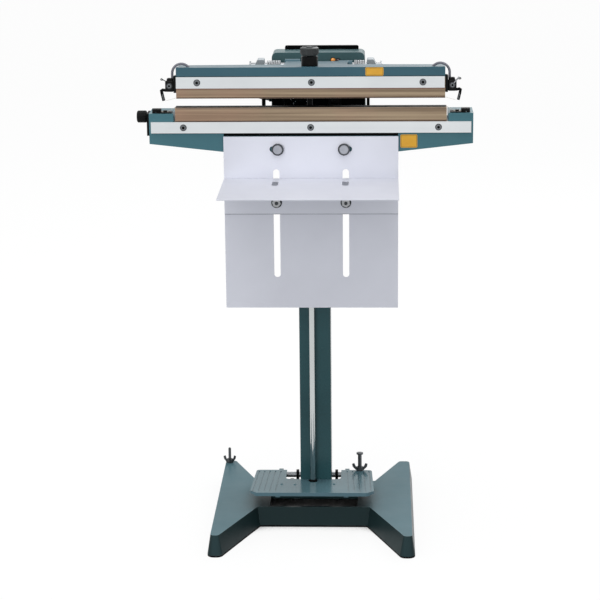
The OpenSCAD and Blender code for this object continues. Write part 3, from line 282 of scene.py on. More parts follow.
def lens(name, colour, deep):
    made, tree, shader, where = newFinish(name)
    tone = mixColour(tree, spanOf(tree, noise(tree, where, 160, 2), 0.4, 0.7), rgba(colour), rgba(deep))
    setShader(tree, shader, colour=tone, rough=0.12, coat=1.0, coatRough=0.05, glow=rgba(colour), glowPower=0.12)
    return made


finishes = {
    # The base's side colour is painted shade: its sides and the hollows under the pedal are drawn dark.
    "base_paint": enamel("basePaint", "52717a", "49676f", "9fb0b2", (0.28, 0.4), 0.00008, 0.3, 0.12, "1b2c2e"),
    "column_paint": enamel("columnPaint", "2c4e53", "254449", "6e8484", (0.2, 0.32), 0.0001, 0.3, 0.2),
    "body_paint": enamel("bodyPaint", "45707a", "3e6872", "8a9fa3", (0.3, 0.42), specular=0.3),
    "arm_paint": enamel("armPaint", "355a67", "2f525f", "8a9fa3", (0.28, 0.4), specular=0.3),
    "box_paint": enamel("boxPaint", "4a676b", "425f63", "748a8e", (0.3, 0.42), specular=0.25),
    "black_steel": enamel("blackSteel", "090b0c", "060708", "3a3d3f", (0.4, 0.55), specular=0.08),
    "black_panel": enamel("blackPanel", "08090a", "050606", "2c2e30", (0.2, 0.3), 0.00004, 0.15, 0.06),
    "sheet_paint": enamel("sheetPaint", "d9dbe5", "d2d4de", "c2c4cd", (0.36, 0.48), 0.00008, 0.25, 0.25),
    "rubber_trim": moulded("rubberTrim", "08090a", "121315", (0.6, 0.75), 0.0002, 300, 0.1),
    "black_plastic": moulded("blackPlastic", "090a0a", "151718", (0.35, 0.5), specular=0.12),
    "sleeve_plastic": moulded("sleevePlastic", "060708", "0f1112", (0.2, 0.3), 0.00003, 500, 0.1),
    "cap_grey": moulded("capGrey", "2b2e2f", "454a4b", (0.32, 0.46), 0.0001, 500, 0.3),
    "knob_grey": moulded("knobGrey", "9a9da6", "b4b7bf", (0.26, 0.38), 0.00005, 500, 0.4),
    "silicone": moulded("silicone", "a8482f", "b96048", (0.5, 0.62), 0.00008, 420),
    "coil_tape": moulded("coilTape", "b0672c", "c4823e", (0.45, 0.6), 0.0002, 260),
    "board_green": moulded("boardGreen", "1c5a34", "2b7447", (0.25, 0.36), 0.00006, 380, 0.4),
    "lead_grey": moulded("leadGrey", "6d6d76", "85858e", (0.4, 0.52), 0.00005, 500),
    "rocker_black": moulded("rockerBlack", "08090a", "141516", (0.2, 0.3), 0.00003, 500, 0.15),
    "bolt_steel": drawnMetal("boltSteel", "5c5f62", "303235", (1, 1, 1), (0.34, 0.52), 0.00006, 0.8),
    "bright_steel": drawnMetal("brightSteel", "a5a8ab", "74777a", (1, 1, 1), (0.22, 0.36)),
    "rod_chrome": drawnMetal("rodChrome", "c6caca", "a9aeae", (1, 1, 0.05), (0.12, 0.2), 0.00001, 0.3),
    "jaw_aluminium": drawnMetal("jawAluminium", "b4b6b8", "8f9194", (0.03, 1, 1), (0.28, 0.42)),
    "strip_aluminium": drawnMetal("stripAluminium", "dfe3e5", "d3d7da", (0.02, 1, 1), (0.36, 0.52), 0.00003, 0.5),
    "ribbon_alloy": drawnMetal("ribbonAlloy", "a39d8c", "7a7262", (0.03, 1, 1), (0.22, 0.36)),
    "bush_bronze": drawnMetal("bushBronze", "b98d4a", "8d6630", (1, 1, 0.05), (0.25, 0.4)),
    "core_steel": drawnMetal("coreSteel", "5b5e63", "37393d", (1, 0.02, 1), (0.4, 0.55), 0.0001, 0.8),
    "ptfe_cloth": tapeCloth("tapeCloth", "a8947a", "7d6a54", "a8806c"),
    "label_yellow": film("labelYellow", "d9a326", "cd951d"),
    "lamp_amber": lens("lampAmber", "e8932a", "b86414"),
}
# The pedal's side colour is painted shade on its faces that don't look up and in occluded spots.
pedalPaint = enamel("pedalPaint", "52717a", "49676f", "9fb0b2", (0.16, 0.26), 0.00008, 0.3, 0.2, "4e6b76")
# The bearing blocks carry the teal base paint drawn pale grey: a painted highlight of the overhead light on their
# tops.
bearingPaint = enamel("bearingPaint", "adb4b9", "a2aaaf", "b4babd", (0.34, 0.46), specular=0.3)
sealTape = moulded("sealTape", "0a0a0a", "171716", (0.45, 0.6), 0.00008, 600, 0.08)
labelEdge = film("labelEdge", "4a3a14", "3c2f10")
paleInk = film("paleInk", "dfe1e2", "cfd1d2")
darkLens = lens("darkLens", "2a1620", "1a0c12")
shadowBlack = moulded("shadowBlack", "040404", "090909", (0.6, 0.75), 0.00005, 500, 0.05)
knobRim = moulded("knobRim", "3c3e42", "55585d", (0.4, 0.55), 0.00006, 500, 0.25)
clampFace = moulded("clampFace", "9da0a8", "b2b4bb", (0.35, 0.45), 0.00006, 400)
knobHub = moulded("knobHub", "c6c7c9", "b0b2b5", (0.4, 0.5), 0.00004, 500)
springSteel = drawnMetal("springSteel", "34393b", "1d2022", (1, 1, 1), (0.35, 0.5), 0.00005, 0.7)
screwFace = drawnMetal("screwFace", "7c8083", "55585b", (1, 1, 1), (0.3, 0.45), 0.00005, 0.6)
print("finishes mixed:", len(finishes))


def takeOnly(piece):
    if bpy.context.object and bpy.context.object.mode != "OBJECT":
        bpy.ops.object.mode_set(mode="OBJECT")
    bpy.ops.object.select_all(action="DESELECT")
    piece.select_set(True)
    bpy.context.view_layer.objects.active = piece


def edit(piece, kind="VERT", test=None):
    takeOnly(piece)
    bpy.ops.object.mode_set(mode="EDIT")
    bpy.ops.mesh.select_mode(type=kind)
    bpy.ops.mesh.select_all(action="SELECT" if test is None else "DESELECT")
    if test is None:
        return
    mesh = bmesh.from_edit_mesh(piece.data)
    mesh.normal_update()
    for item in {"VERT": mesh.verts, "EDGE": mesh.edges, "FACE": mesh.faces}[kind]:
        if test(item):
            item.select_set(True)
    mesh.select_flush_mode()
    bmesh.update_edit_mesh(piece.data)


def closeEdit():
    bpy.ops.object.mode_set(mode="OBJECT")


def settle(piece):
    takeOnly(piece)
    bpy.ops.object.transform_apply(location=True, rotation=True, scale=True)


def modify(piece, kind, **settings):
    takeOnly(piece)
    bpy.ops.object.modifier_add(type=kind)
    made = piece.modifiers[-1]
    for key, value in settings.items():
        setattr(made, key, value)
    bpy.ops.object.modifier_apply(modifier=made.name)


def soften(piece, width, steps=2, angle=30):
    if width:
        modify(piece, "BEVEL", width=width * mm, segments=steps, limit_method="ANGLE",
               angle_limit=math.radians(angle), use_clamp_overlap=True)
    takeOnly(piece)
    bpy.ops.object.shade_smooth_by_angle(angle=math.radians(38))
    modify(piece, "WEIGHTED_NORMAL", keep_sharp=True)


# The turn that lays a piece made along Z on another axis.
def turnTo(axis):
    quarter = math.pi / 2
    return {"Z": Matrix.Identity(4),
            "X": Matrix.Rotation(quarter, 4, "Y"), "-X": Matrix.Rotation(-quarter, 4, "Y"),
            "Y": Matrix.Rotation(-quarter, 4, "X"), "-Y": Matrix.Rotation(quarter, 4, "X")}[axis]


def facesOut(piece):
    edit(piece)
    bpy.ops.mesh.normals_make_consistent(inside=False)
    closeEdit()


def block(name, low, high, edge=0.4, steps=2):
    low, high = Vector(low) * mm, Vector(high) * mm
    bpy.ops.object.select_all(action="DESELECT")
    bpy.ops.mesh.primitive_cube_add(size=1, location=(low + high) / 2)
    piece = bpy.context.object
    piece.name = name
    piece.scale = high - low
    settle(piece)
    if edge:
        soften(piece, edge, steps)
    return piece


# A turned piece: rings of (radius, height) drawn out one after another from a circle.
def turned(name, rings, sides=32, axis="Z", place=(0, 0, 0), smooth=38, spin=0):
    bpy.ops.object.select_all(action="DESELECT")
    first = rings[0]
    bpy.ops.mesh.primitive_circle_add(vertices=sides, radius=first[0] * mm, fill_type="NGON")
    piece = bpy.context.object
    piece.name = name
    edit(piece)
    bpy.ops.transform.translate(value=(0, 0, first[1] * mm))
    for (wide, low), (nextWide, high) in zip(rings, rings[1:]):
        bpy.ops.mesh.extrude_region_move(TRANSFORM_OT_translate={"value": (0, 0, (high - low) * mm)})
        ratio = nextWide / wide
        bpy.ops.transform.resize(value=(ratio, ratio, 1), center_override=(0, 0, high * mm))
    bpy.ops.mesh.select_all(action="SELECT")
    bpy.ops.mesh.normals_make_consistent(inside=False)
    closeEdit()
    piece.matrix_world = Matrix.Translation(Vector(place) * mm) @ turnTo(axis) @ Matrix.Rotation(spin, 4, "Z")
    settle(piece)
    takeOnly(piece)
    bpy.ops.object.shade_smooth_by_angle(angle=math.radians(smooth))
    return piece


# A round wire wound on a straight axis.
def coil(name, radius, wire, length, turns, axis="Z", place=(0, 0, 0)):
    bpy.ops.object.select_all(action="DESELECT")
    bpy.ops.mesh.primitive_circle_add(vertices=8, radius=wire * mm, fill_type="NOTHING",
                                      location=(radius * mm, 0, 0), rotation=(math.pi / 2, 0, 0))
    piece = bpy.context.object
    piece.name = name
    settle(piece)
    modify(piece, "SCREW", angle=2 * math.pi, screw_offset=length / turns * mm, iterations=turns, steps=20,
           render_steps=20, axis="Z")
    edit(piece)
    bpy.ops.mesh.remove_doubles(threshold=1e-6)
    bpy.ops.mesh.select_all(action="DESELECT")
    bpy.ops.mesh.select_mode(type="EDGE")
    bpy.ops.mesh.select_non_manifold(extend=False)
    bpy.ops.mesh.edge_face_add()
    bpy.ops.mesh.select_all(action="SELECT")
    bpy.ops.mesh.normals_make_consistent(inside=False)
    closeEdit()
    piece.matrix_world = Matrix.Translation(Vector(place) * mm) @ turnTo(axis)
    settle(piece)
    takeOnly(piece)
    bpy.ops.object.shade_smooth_by_angle(angle=math.radians(60))
    return piece


# A copy of a node with its triangles merged back into flat faces and its edges rounded.
def casting(node, width, steps=2):
    source = frame["nodes"][node]
    piece = source.copy()
    piece.data = source.data.copy()
    piece.name = node.title().replace("_", "") + "Piece"
    piece.parent = None
    piece.matrix_world = Matrix.Identity(4)
    for key in list(piece.keys()):
        del piece[key]
    piece.data.materials.clear()
    bpy.context.scene.collection.objects.link(piece)
    takeOnly(piece)
    if piece.data.has_custom_normals:
        bpy.ops.mesh.customdata_custom_splitnormals_clear()
    edit(piece)
    bpy.ops.mesh.remove_doubles(threshold=2e-6)
    bpy.ops.mesh.dissolve_limited(angle_limit=math.radians(0.6))
    closeEdit()
    soften(piece, width, steps)
    return piece


def paintAll(piece, finish):
    piece.data.materials.clear()
    piece.data.materials.append(finish)
    for face in piece.data.polygons:
        face.material_index = 0


def paintWhere(piece, finish, test):
    piece.data.materials.append(finish)
    index = len(piece.data.materials) - 1
    for face in piece.data.polygons:
        if test(face.center / mm, face.normal):
            face.material_index = index


def seat(piece, body, slotName, *nodes, finish=None):
    if not len(piece.data.materials):
        paintAll(piece, finish or finishes[slotName])
    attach(piece, body)
    if nodes:
        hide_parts(*nodes)
    return piece


def seatCasting(node, width, steps=2):
    return seat(casting(node, width, steps), bodyOf[node], slotOf[node], node)


def joined(name, pieces):
    takeOnly(pieces[0])
    for piece in pieces[1:]:
        piece.select_set(True)
    bpy.ops.object.join()
    pieces[0].name = name
    return pieces[0]


# The arm is modelled closed and then swung up to its rest place.
armPivot = {"y": 118, "z": 801, "open": 4.8}


def raiseArm(piece):
    pivot = Vector((0, armPivot["y"], armPivot["z"])) * mm
    piece.matrix_world = (Matrix.Translation(pivot) @ Matrix.Rotation(math.radians(-armPivot["open"]), 4, "X")
                          @ Matrix.Translation(-pivot) @ piece.matrix_world)
    settle(piece)
    return piece


# Nodes that only need rounded edges: node, edge width, steps
roundedNodes = [("base_shell", 2.2, 3), ("column", 0.6, 2), ("lower_body", 1.2, 3), ("upper_arm", 1.2, 3),
                ("control_box_shell", 0.8, 2), ("control_box_rear_cover", 0.5, 2), ("pivot_uprights", 0.5, 2),
                ("work_plate", 0.35, 2), ("shelf_bracket", 0.5, 3), ("end_plate", 0.5, 2),
                ("box_top_rail", 0.9, 3), ("front_panel", 0.3, 1), ("lower_jaw_bar", 0.4, 2),
                ("upper_jaw_bar", 0.4, 2), ("base_edge_trim", 0.6, 2), ("microswitch", 0.4, 2),
                ("levelling_wing_nut", 0.5, 2), ("limit_wing_nut", 0.5, 2), ("frame_bolts", 0.4, 1),
                ("rod_nuts", 0.3, 1), ("spring_sleeve", 0.7, 2), ("power_switch", 0.4, 2),
                ("lower_clamp_strip", 0.5, 2), ("upper_clamp_strip", 0.5, 2)]
for node, width, steps in roundedNodes:
    seatCasting(node, width, steps)
print("castings and sheet parts rounded")


# A flat band drawn out from one edge through points, then given its thickness.
def strap(name, points, width, thick, across="X", edge=0.0):
    points = [Vector(p) * mm for p in points]
    bpy.ops.object.select_all(action="DESELECT")
    bpy.ops.mesh.primitive_plane_add(size=1)
    piece = bpy.context.object
    piece.name = name
    piece.scale = (width * mm, 0.001, 1)
    piece.rotation_euler = (0, 0, 0 if across == "X" else math.pi / 2)
    settle(piece)
    edit(piece, "VERT", lambda v: (v.co.y if across == "X" else v.co.x) > 0)
    bpy.ops.mesh.delete(type="VERT")
    bpy.ops.mesh.select_all(action="SELECT")
    middle = sum((v.co for v in bmesh.from_edit_mesh(piece.data).verts), Vector()) / 2
    bpy.ops.transform.translate(value=points[0] - middle)
    for start, stop in zip(points, points[1:]):
        bpy.ops.mesh.extrude_region_move(TRANSFORM_OT_translate={"value": stop - start})
    closeEdit()
    modify(piece, "SOLIDIFY", thickness=thick * mm, offset=0, use_even_offset=True)
    facesOut(piece)
    soften(piece, edge, 1, 50)
    return piece


# A round wire along a smooth line.
def wire(name, points, radius):
    bpy.ops.object.select_all(action="DESELECT")
    bpy.ops.curve.primitive_nurbs_path_add()
    line = bpy.context.object
    line.name = name
    line.data.splines.remove(line.data.splines[0])
    spline = line.data.splines.new("NURBS")
    spline.points.add(len(points) - 1)
    for spot, point in zip(spline.points, points):
        spot.co = (*(Vector(point) * mm), 1)
    spline.use_endpoint_u, spline.order_u, spline.resolution_u = True, 3, 5
    line.data.bevel_depth, line.data.bevel_resolution, line.data.use_fill_caps = radius * mm, 3, True
    takeOnly(line)
    bpy.ops.object.convert(target="MESH")
    piece = bpy.context.object
    edit(piece)
    bpy.ops.mesh.remove_doubles(threshold=1e-6)
    bpy.ops.mesh.normals_make_consistent(inside=False)
    closeEdit()
    settle(piece)
    takeOnly(piece)
    bpy.ops.object.shade_smooth_by_angle(angle=math.radians(50))
    return piece


# Narrows every third row of corners round a turned rim, which knurls it.
def knurl(piece, centre, axis, inner, depth, every=3, sides=96):
    centre = Vector(centre) * mm
    flat = {"X": (1, 2), "Y": (0, 2), "Z": (0, 1)}[axis]

    def grooved(v):
        off = v.co - centre
        a, b = off[flat[0]], off[flat[1]]
        turn = round(math.atan2(b, a) / (2 * math.pi) * sides)
        return math.hypot(a, b) > inner * mm and turn % every == 0
    edit(piece, "VERT", grooved)
    ratio = [1 - depth] * 3
    ratio["XYZ".index(axis)] = 1
    bpy.ops.transform.resize(value=ratio, center_override=centre)
    closeEdit()


# Round head with a hexagon socket, its washer under it.
def capScrew(name, place, axis, head=4.3, washer=5.5, tall=2.2):
    rings = [(washer * 0.9, 0), (washer, 0.1), (washer, 0.7), (washer * 0.93, 0.9), (head * 0.8, 0.9)]
    under = turned(name + "Washer", rings, 24, axis, place)
    paintAll(under, knobRim)
    top = tall + 0.7
    rings = [(head * 0.96, 0.6), (head, 0.8), (head, top - 0.8), (head * 0.93, top - 0.25), (head * 0.78, top),
             (head * 0.56, top), (head * 0.54, top - 1.3), (head * 0.2, top - 1.5)]
    screw = turned(name, rings, 24)
    for share, spots in ((0.8966, (15, 45)), (0.866, (30,))):
        def socket(v):
            turn = round(math.degrees(math.atan2(v.co.y, v.co.x))) % 60
            return turn in spots and head * 0.3 < v.co.xy.length / mm < head * 0.6
        edit(screw, "VERT", socket)
        bpy.ops.transform.resize(value=(share, share, 1), center_override=(0, 0, 0))
        closeEdit()
    paintAll(screw, screwFace)
    paintWhere(screw, shadowBlack, lambda c, n: c.z < top - 0.4 and c.xy.length < head * 0.5)
    screw.matrix_world = Matrix.Translation(Vector(place) * mm) @ turnTo(axis)
    settle(screw)
    return joined(name, [screw, under])


for node, finish in [("pivot_bearings", bearingPaint), ("pivot_shaft", finishes["bright_steel"]),
                     ("pedal_plate", pedalPaint)]:
    seat(casting(node, 0.7, 2), bodyOf[node], slotOf[node], node, finish=finish)

# Each return spring goes from one x to another in so many turns.
springs = {"radius": 10, "wire": 1.35, "spans": {"Left": (-84, -59.4, 8), "Right": (72.4, 91, 6)}}
pair = []
for side, (start, stop, turns) in springs["spans"].items():
    pair.append(coil("returnSpring" + side, springs["radius"], springs["wire"], stop - start, turns, "X",
                     (start, armPivot["y"], armPivot["z"])))
returnSprings = joined("returnSprings", pair)
seat(returnSprings, "stand", slotOf["return_springs"], "return_springs", finish=finishes["bright_steel"])
rod = {"x": -2, "y": -39, "low": 44, "high": 854.9, "radius": 5, "root": 4.35, "tip": 4.1, "pitch": 1.5,
       "lowThread": 23, "highThread": 58, "blackFrom": 700}
buffer = {"radius": 7.2, "wire": 1.2, "tall": 13.4, "turns": 4, "z": 828.2}
bufferSpring = coil("bufferSpring", buffer["radius"], buffer["wire"], buffer["tall"], buffer["turns"], "Z",
                    (rod["x"], rod["y"], buffer["z"]))
seat(bufferSpring, "rod", slotOf["buffer_spring"], "buffer_spring", finish=springSteel)
print("springs wound")

rings = [(rod["tip"], rod["low"])]
height = rod["low"] + 0.7
while height < rod["low"] + rod["lowThread"]:
    rings += [(rod["radius"], height), (rod["root"], height + rod["pitch"] / 2)]
    height += rod["pitch"]
for bend in (height + 0.8, rod["blackFrom"], rod["high"] - rod["highThread"]):
    rings.append((rod["radius"], bend))
height = rod["high"] - rod["highThread"] + 0.7
while height < rod["high"] - 1.6:
    rings += [(rod["root"], height), (rod["radius"], height + rod["pitch"] / 2)]
    height += rod["pitch"]
rings += [(rod["tip"], rod["high"])]
pullRod = turned("pullRod", rings, 32, "Z", (rod["x"], rod["y"], 0), 32)
paintAll(pullRod, finishes["rod_chrome"])
# The rod's upper stretch is painted black as shade, for where it runs through the dark between the jaws.
paintWhere(pullRod, finishes["black_steel"], lambda c, n: c.z > rod["blackFrom"])
seat(pullRod, "rod", slotOf["pull_rod"], "pull_rod")

cap = {"z": 843.0, "radius": 16.2, "tall": 15, "groove": 0.05}
rings = [(13.6, 0), (14.6, 0.5), (15.0, 1.4), (15.0, 2.2), (cap["radius"], 2.6), (cap["radius"], 11.6),
         (15.4, 12.9), (13.4, 13.9), (11.4, 14.2), (10.8, 13.4), (5.4, 13.2), (5.2, cap["tall"]), (4.6, cap["tall"])]
pressureCap = turned("pressureCap", rings, 96, "Z", (rod["x"], rod["y"], cap["z"]), 30)
knurl(pressureCap, (rod["x"], rod["y"], cap["z"]), "Z", cap["radius"] - 0.2, cap["groove"])
seat(pressureCap, "cap", slotOf["pressure_cap"], "pressure_cap", finish=finishes["cap_grey"])
print("rod and pressure cap made")

# A size is the head's radius, the washer's radius and the head's height.
screws = {"front": -72.6, "lowerZ": 723.25, "lowerX": (-219, 0, 219), "upperZ": 784.95, "upperX": (-194, 2, 192),
          "stripSize": (4.7, 5.8, 1.7), "rear": 278.2, "caseX": (-67, 81), "caseZ": (698, 775),
          "caseSize": (2.6, 3.2, 0.9)}
heads = [capScrew(f"lowerScrew{i}", (x, screws["front"], screws["lowerZ"]), "-Y", *screws["stripSize"])
         for i, x in enumerate(screws["lowerX"])]
seat(joined("lowerStripScrews", heads), "stand", slotOf["lower_strip_screws"], "lower_strip_screws")
heads = [capScrew(f"upperScrew{i}", (x, screws["front"], screws["upperZ"]), "-Y", *screws["stripSize"])
         for i, x in enumerate(screws["upperX"])]
seat(raiseArm(joined("upperStripScrews", heads)), "arm", slotOf["upper_strip_screws"], "upper_strip_screws")
corners = [(x, z) for z in screws["caseZ"] for x in screws["caseX"]]
heads = [capScrew(f"caseScrew{i}", (x, screws["rear"], z), "Y", *screws["caseSize"])
         for i, (x, z) in enumerate(corners)]
seat(joined("caseScrews", heads), "stand", slotOf["case_screws"], "case_screws")

clampKnob = {"radius": 10.4, "back": -73.2, "x": 57, "z": 685.5, "groove": 0.035, "sides": 72, "faceRadius": 7.6,
             "faceDepth": 6, "studRadius": 3, "studLong": 14}


def makeClampKnob(side, x):
    rings = [(6.4, 0), (6.8, 0.4), (6.8, 1.6), (9.4, 2.2), (clampKnob["radius"], 3.0), (clampKnob["radius"], 5.9),
             (9.7, 6.7), (8.0, 6.9), (7.8, 6.2), (7.4, 6.2), (6.9, 6.7), (3.4, 6.9), (3.2, 6.4), (1.2, 6.4)]
    dial = turned("clampKnob" + side, rings, clampKnob["sides"], "-Y", (x, clampKnob["back"], clampKnob["z"]), 32)
    knurl(dial, (x, 0, clampKnob["z"]), "Y", clampKnob["radius"] - 0.2, clampKnob["groove"], 3, clampKnob["sides"])
    paintAll(dial, knobRim)

    def onFace(c, n):
        away = Vector((c.x - x, c.z - clampKnob["z"])).length
        return away < clampKnob["faceRadius"] and c.y < clampKnob["back"] - clampKnob["faceDepth"]
    paintWhere(dial, clampFace, onFace)
    rings = [(clampKnob["studRadius"], 0), (clampKnob["studRadius"], clampKnob["studLong"])]
    stud = turned("clampStud" + side, rings, 20, "Y", (x, clampKnob["back"] + 0.2, clampKnob["z"]))
    paintAll(stud, finishes["bolt_steel"])
    return joined("clampKnob" + side, [dial, stud])


for side, x in (("Left", -clampKnob["x"]), ("Right", clampKnob["x"])):
    node = "work_plate_knob_" + side.lower()
    seat(makeClampKnob(side, x), bodyOf[node], slotOf[node], node)

nuts = {"x": 60, "z": 592, "face": -74.8, "leftSpin": 0.3, "rightSpin": 0.1}
fixings = []
for side, x in (("Left", -nuts["x"]), ("Right", nuts["x"])):
    spot = (x, nuts["face"], nuts["z"])
    washer = turned("nutWasher" + side, [(8.8, 0), (9.3, 0.2), (9.3, 1.1), (8.8, 1.4), (5, 1.4)], 32, "-Y", spot)
    paintAll(washer, knobRim)
    hexagon = turned("nutHex" + side, [(6.8, 1.3), (7.6, 1.9), (7.6, 5.6), (6.8, 6.2), (3.4, 6.3)], 6, "-Y",
                     spot, 20, nuts["leftSpin"] if x < 0 else nuts["rightSpin"])
    paintAll(hexagon, knobHub)
    tip = turned("nutBolt" + side, [(3, 6), (3, 8.4), (2.5, 9.2), (2.4, 10.2), (1.6, 10.5)], 20, "-Y", spot)
    shank = turned("nutShank" + side, [(2.9, 0), (2.9, 6.5)], 20, "Y", spot)
    for part in (tip, shank):
        paintAll(part, finishes["bolt_steel"])
    fixings += [washer, hexagon, tip, shank]
seat(joined("shelfNuts", fixings), "shelf", slotOf["shelf_nuts"], "shelf_nuts")

endKnob = {"place": (-301.8, -42, 738), "ribStart": 10.3, "groove": 0.07, "sides": 60, "threadFrom": 20,
           "threadTo": 42}
rings = [(7.6, 0), (9.2, 0.6), (10.4, 2.2), (10.5, 15), (9.6, 16.6), (7.4, 17.2), (7.2, 18.4), (4, 18.4)]
grip = turned("endKnob", rings, endKnob["sides"], "X", endKnob["place"], 32)
knurl(grip, (0, *endKnob["place"][1:]), "X", endKnob["ribStart"], endKnob["groove"], 5, endKnob["sides"])
paintAll(grip, finishes["black_plastic"])
collar = turned("endCollar", [(6.3, 17.8), (6.8, 18.2), (6.8, 20.2), (6.3, 20.4), (3.4, 20.4)], 32, "X",
                endKnob["place"])
paintAll(collar, knobHub)
rings = [(3.4, endKnob["threadFrom"])]
while rings[-1][1] < endKnob["threadTo"]:
    rings += [(4.0, rings[-1][1] + 0.6), (3.5, rings[-1][1] + 1.2)]
thread = turned("endThread", rings, 20, "X", endKnob["place"], 25)
paintAll(thread, finishes["bolt_steel"])
seat(joined("endKnob", [grip, collar, thread]), "end_grip", slotOf["end_knob"], "end_knob")
print("screws, knobs and nuts made")


# The line is inset from the plate's edge, and then as wide as lineWide.
label = {"corner": 2.4, "inset": 1.1, "lineWide": 0.5, "lowerBox": ((154, -69.4, 687), (183, -69, 710)),
         "upperBox": ((94, -70.9, 795.9), (125, -70.5, 810.2))}


# A bare printed plate: yellow film with a thin dark line just inside its edge.
def namePlate(name, low, high):
    piece = block(name, low, high, 0)
    edit(piece, "EDGE", lambda e: abs((e.verts[0].co - e.verts[1].co).normalized().y) > 0.9)
    bpy.ops.mesh.bevel(offset=label["corner"] * mm, segments=4, affect="EDGES")
    closeEdit()
    edit(piece, "FACE", lambda f: f.normal.y < -0.9)
    for step in ("inset", "lineWide"):
        bpy.ops.mesh.inset(thickness=label[step] * mm)
    closeEdit()
    paintAll(piece, finishes["label_yellow"])
    wide = Vector((high[0] - low[0], high[2] - low[2])) / 2
    middle = Vector(((high[0] + low[0]) / 2, (high[2] + low[2]) / 2))

    def inLine(c, n):
        reach = max(abs(c.x - middle.x) - wide.x, abs(c.z - middle.y) - wide.y)
        return n.y < -0.9 and -label["inset"] - label["lineWide"] - 0.1 < reach < -label["inset"] + 0.05
    paintWhere(piece, labelEdge, inLine)
    return piece


lowerLabel = namePlate("lowerLabel", *label["lowerBox"])
seat(lowerLabel, "stand", slotOf["lower_label"], "lower_label")
upperLabel = namePlate("upperLabel", *label["upperBox"])
seat(raiseArm(upperLabel), "arm", slotOf["upper_label"], "upper_label")

# Each cloth is a line of (y, z) down the front, over the jaw and down the back, drawn out along x.
cloth = {"thick": 0.28, "lowerWide": 466, "upperWide": 460,
         "lower": [(-69.45, 715.6), (-69.42, 740), (-69.4, 756.2), (-69.0, 757.1), (-68.2, 757.28), (-58, 757.28),
                   (-47.4, 757.28), (-46.7, 757.1), (-46.45, 756.2), (-46.45, 738)],
         "upper": [(-69.45, 792.5), (-69.42, 775), (-69.4, 759.0), (-69.0, 758.1), (-68.2, 757.86), (-58, 757.86),
                   (-47.4, 757.86), (-46.7, 758.1), (-46.45, 759.0), (-46.45, 776)]}
lowerCloth = strap("lowerCloth", [(0, y, z) for y, z in cloth["lower"]], cloth["lowerWide"], cloth["thick"])
seat(lowerCloth, "stand", slotOf["lower_ptfe_cloth"], "lower_ptfe_cloth", finish=finishes["ptfe_cloth"])
upperCloth = strap("upperCloth", [(0, y, z) for y, z in cloth["upper"]], cloth["upperWide"], cloth["thick"])
seat(raiseArm(upperCloth), "arm", slotOf["upper_ptfe_cloth"], "upper_ptfe_cloth", finish=finishes["ptfe_cloth"])
# The black strip on the lower jaw is a thin black tape together with painted shade from the upper jaw over it; it is a
# little narrower at its top.
seal = {"half": 232.4, "front": -68.6, "back": -48.6, "low": 757.36, "high": 757.66, "topShare": (0.994, 0.93, 1)}
band = block("sealBand", (-seal["half"], seal["front"], seal["low"]), (seal["half"], seal["back"], seal["high"]), 0)
edit(band, "FACE", lambda f: f.normal.z > 0.9)
middle = Vector((0, (seal["front"] + seal["back"]) / 2, seal["high"])) * mm
bpy.ops.transform.resize(value=seal["topShare"], center_override=middle)
closeEdit()
seat(band, "stand", slotOf["lower_ptfe_cloth"], finish=sealTape)

# Hems, creases and painted shadow lines: (name, body, half width, lowest z, highest z, front y, finish). The gap lines
# are black strips of painted shadow between parts, and the line under the upper clamp strip is the tape's edge with
# the strip's painted shadow on it.
edgeLines = [("lowerHem", "stand", 232.4, 733.0, 734.7, -69.78, "hem"),
             ("lowerCrease", "stand", 231.6, 754.9, 756.6, -69.68, "crease"),
             ("lowerGap", "stand", 274, 712.4, 713.5, -69.5, "gap"),
             ("plateGap", "stand", 150, 708.0, 712.4, -69.3, "gap"),
             ("shelfEdge", "shelf", 150.2, 571.4, 572.2, -74.95, "edge"),
             ("upperScorch", "arm", 229.4, 758.3, 759.9, -69.74, "hem"),
             ("upperHem", "arm", 229.4, 773.7, 775.2, -69.74, "blush"),
             ("upperGap", "arm", 229.6, 794.7, 795.6, -71.0, "gap")]
edgeFinishes = {"hem": moulded("hemBrown", "4c3c33", "5c4b40", (0.5, 0.6), 0.00008, 500, 0.15),
                "crease": moulded("creaseBrown", "75665a", "867668", (0.5, 0.6), 0.00008, 500, 0.15),
                "blush": moulded("blushBrown", "7d5650", "8a6660", (0.5, 0.6), 0.00008, 500, 0.15),
                "gap": shadowBlack,
                "edge": moulded("edgeGrey", "6c6f79", "7e818b", (0.5, 0.6), 0.00005, 500, 0.2)}
for name, body, half, low, high, front, tint in edgeLines:
    line = block(name, (-half, front, low), (half, front + 0.5, high), 0.08, 1)
    if body == "arm":
        raiseArm(line)
    seat(line, body, slotOf["shelf_bracket" if body == "shelf" else "lower_ptfe_cloth"], finish=edgeFinishes[tint])
print("labels and cloths laid")

brackets = casting("pedal_brackets", 0.5)
paintAll(brackets, finishes[slotOf["pedal_brackets"]])
# The left half of the brackets is painted black as shade, for the shadow it sits in; the right half keeps the bracket
# paint.
paintWhere(brackets, finishes["black_steel"], lambda c, n: c.x < rod["x"])
seat(brackets, "stand", slotOf["pedal_brackets"], "pedal_brackets")
rivetSpots = [(-58, -60, 70.5), (-34, -62.6, 70.5), (36.5, -59, 70.5)]
rivetRings = [(2.4, 0), (2.5, 0.3), (2.2, 1.0), (1.3, 1.5), (0.4, 1.6)]
rivets = [turned(f"pedalRivet{i}", rivetRings, 20, "Z", spot) for i, spot in enumerate(rivetSpots)]
seat(joined("pedalRivets", rivets), "pedal", slotOf["pedal_plate"], finish=pedalPaint)
grommet = {"z": 69.9, "rings": [(6.6, 0), (7.4, 0.3), (7.4, 1.3), (6.8, 1.8), (5.4, 1.8)]}
rodGrommet = turned("rodGrommet", grommet["rings"], 32, "Z", (rod["x"], rod["y"], grommet["z"]))
seat(rodGrommet, "pedal", slotOf["base_edge_trim"], finish=shadowBlack)

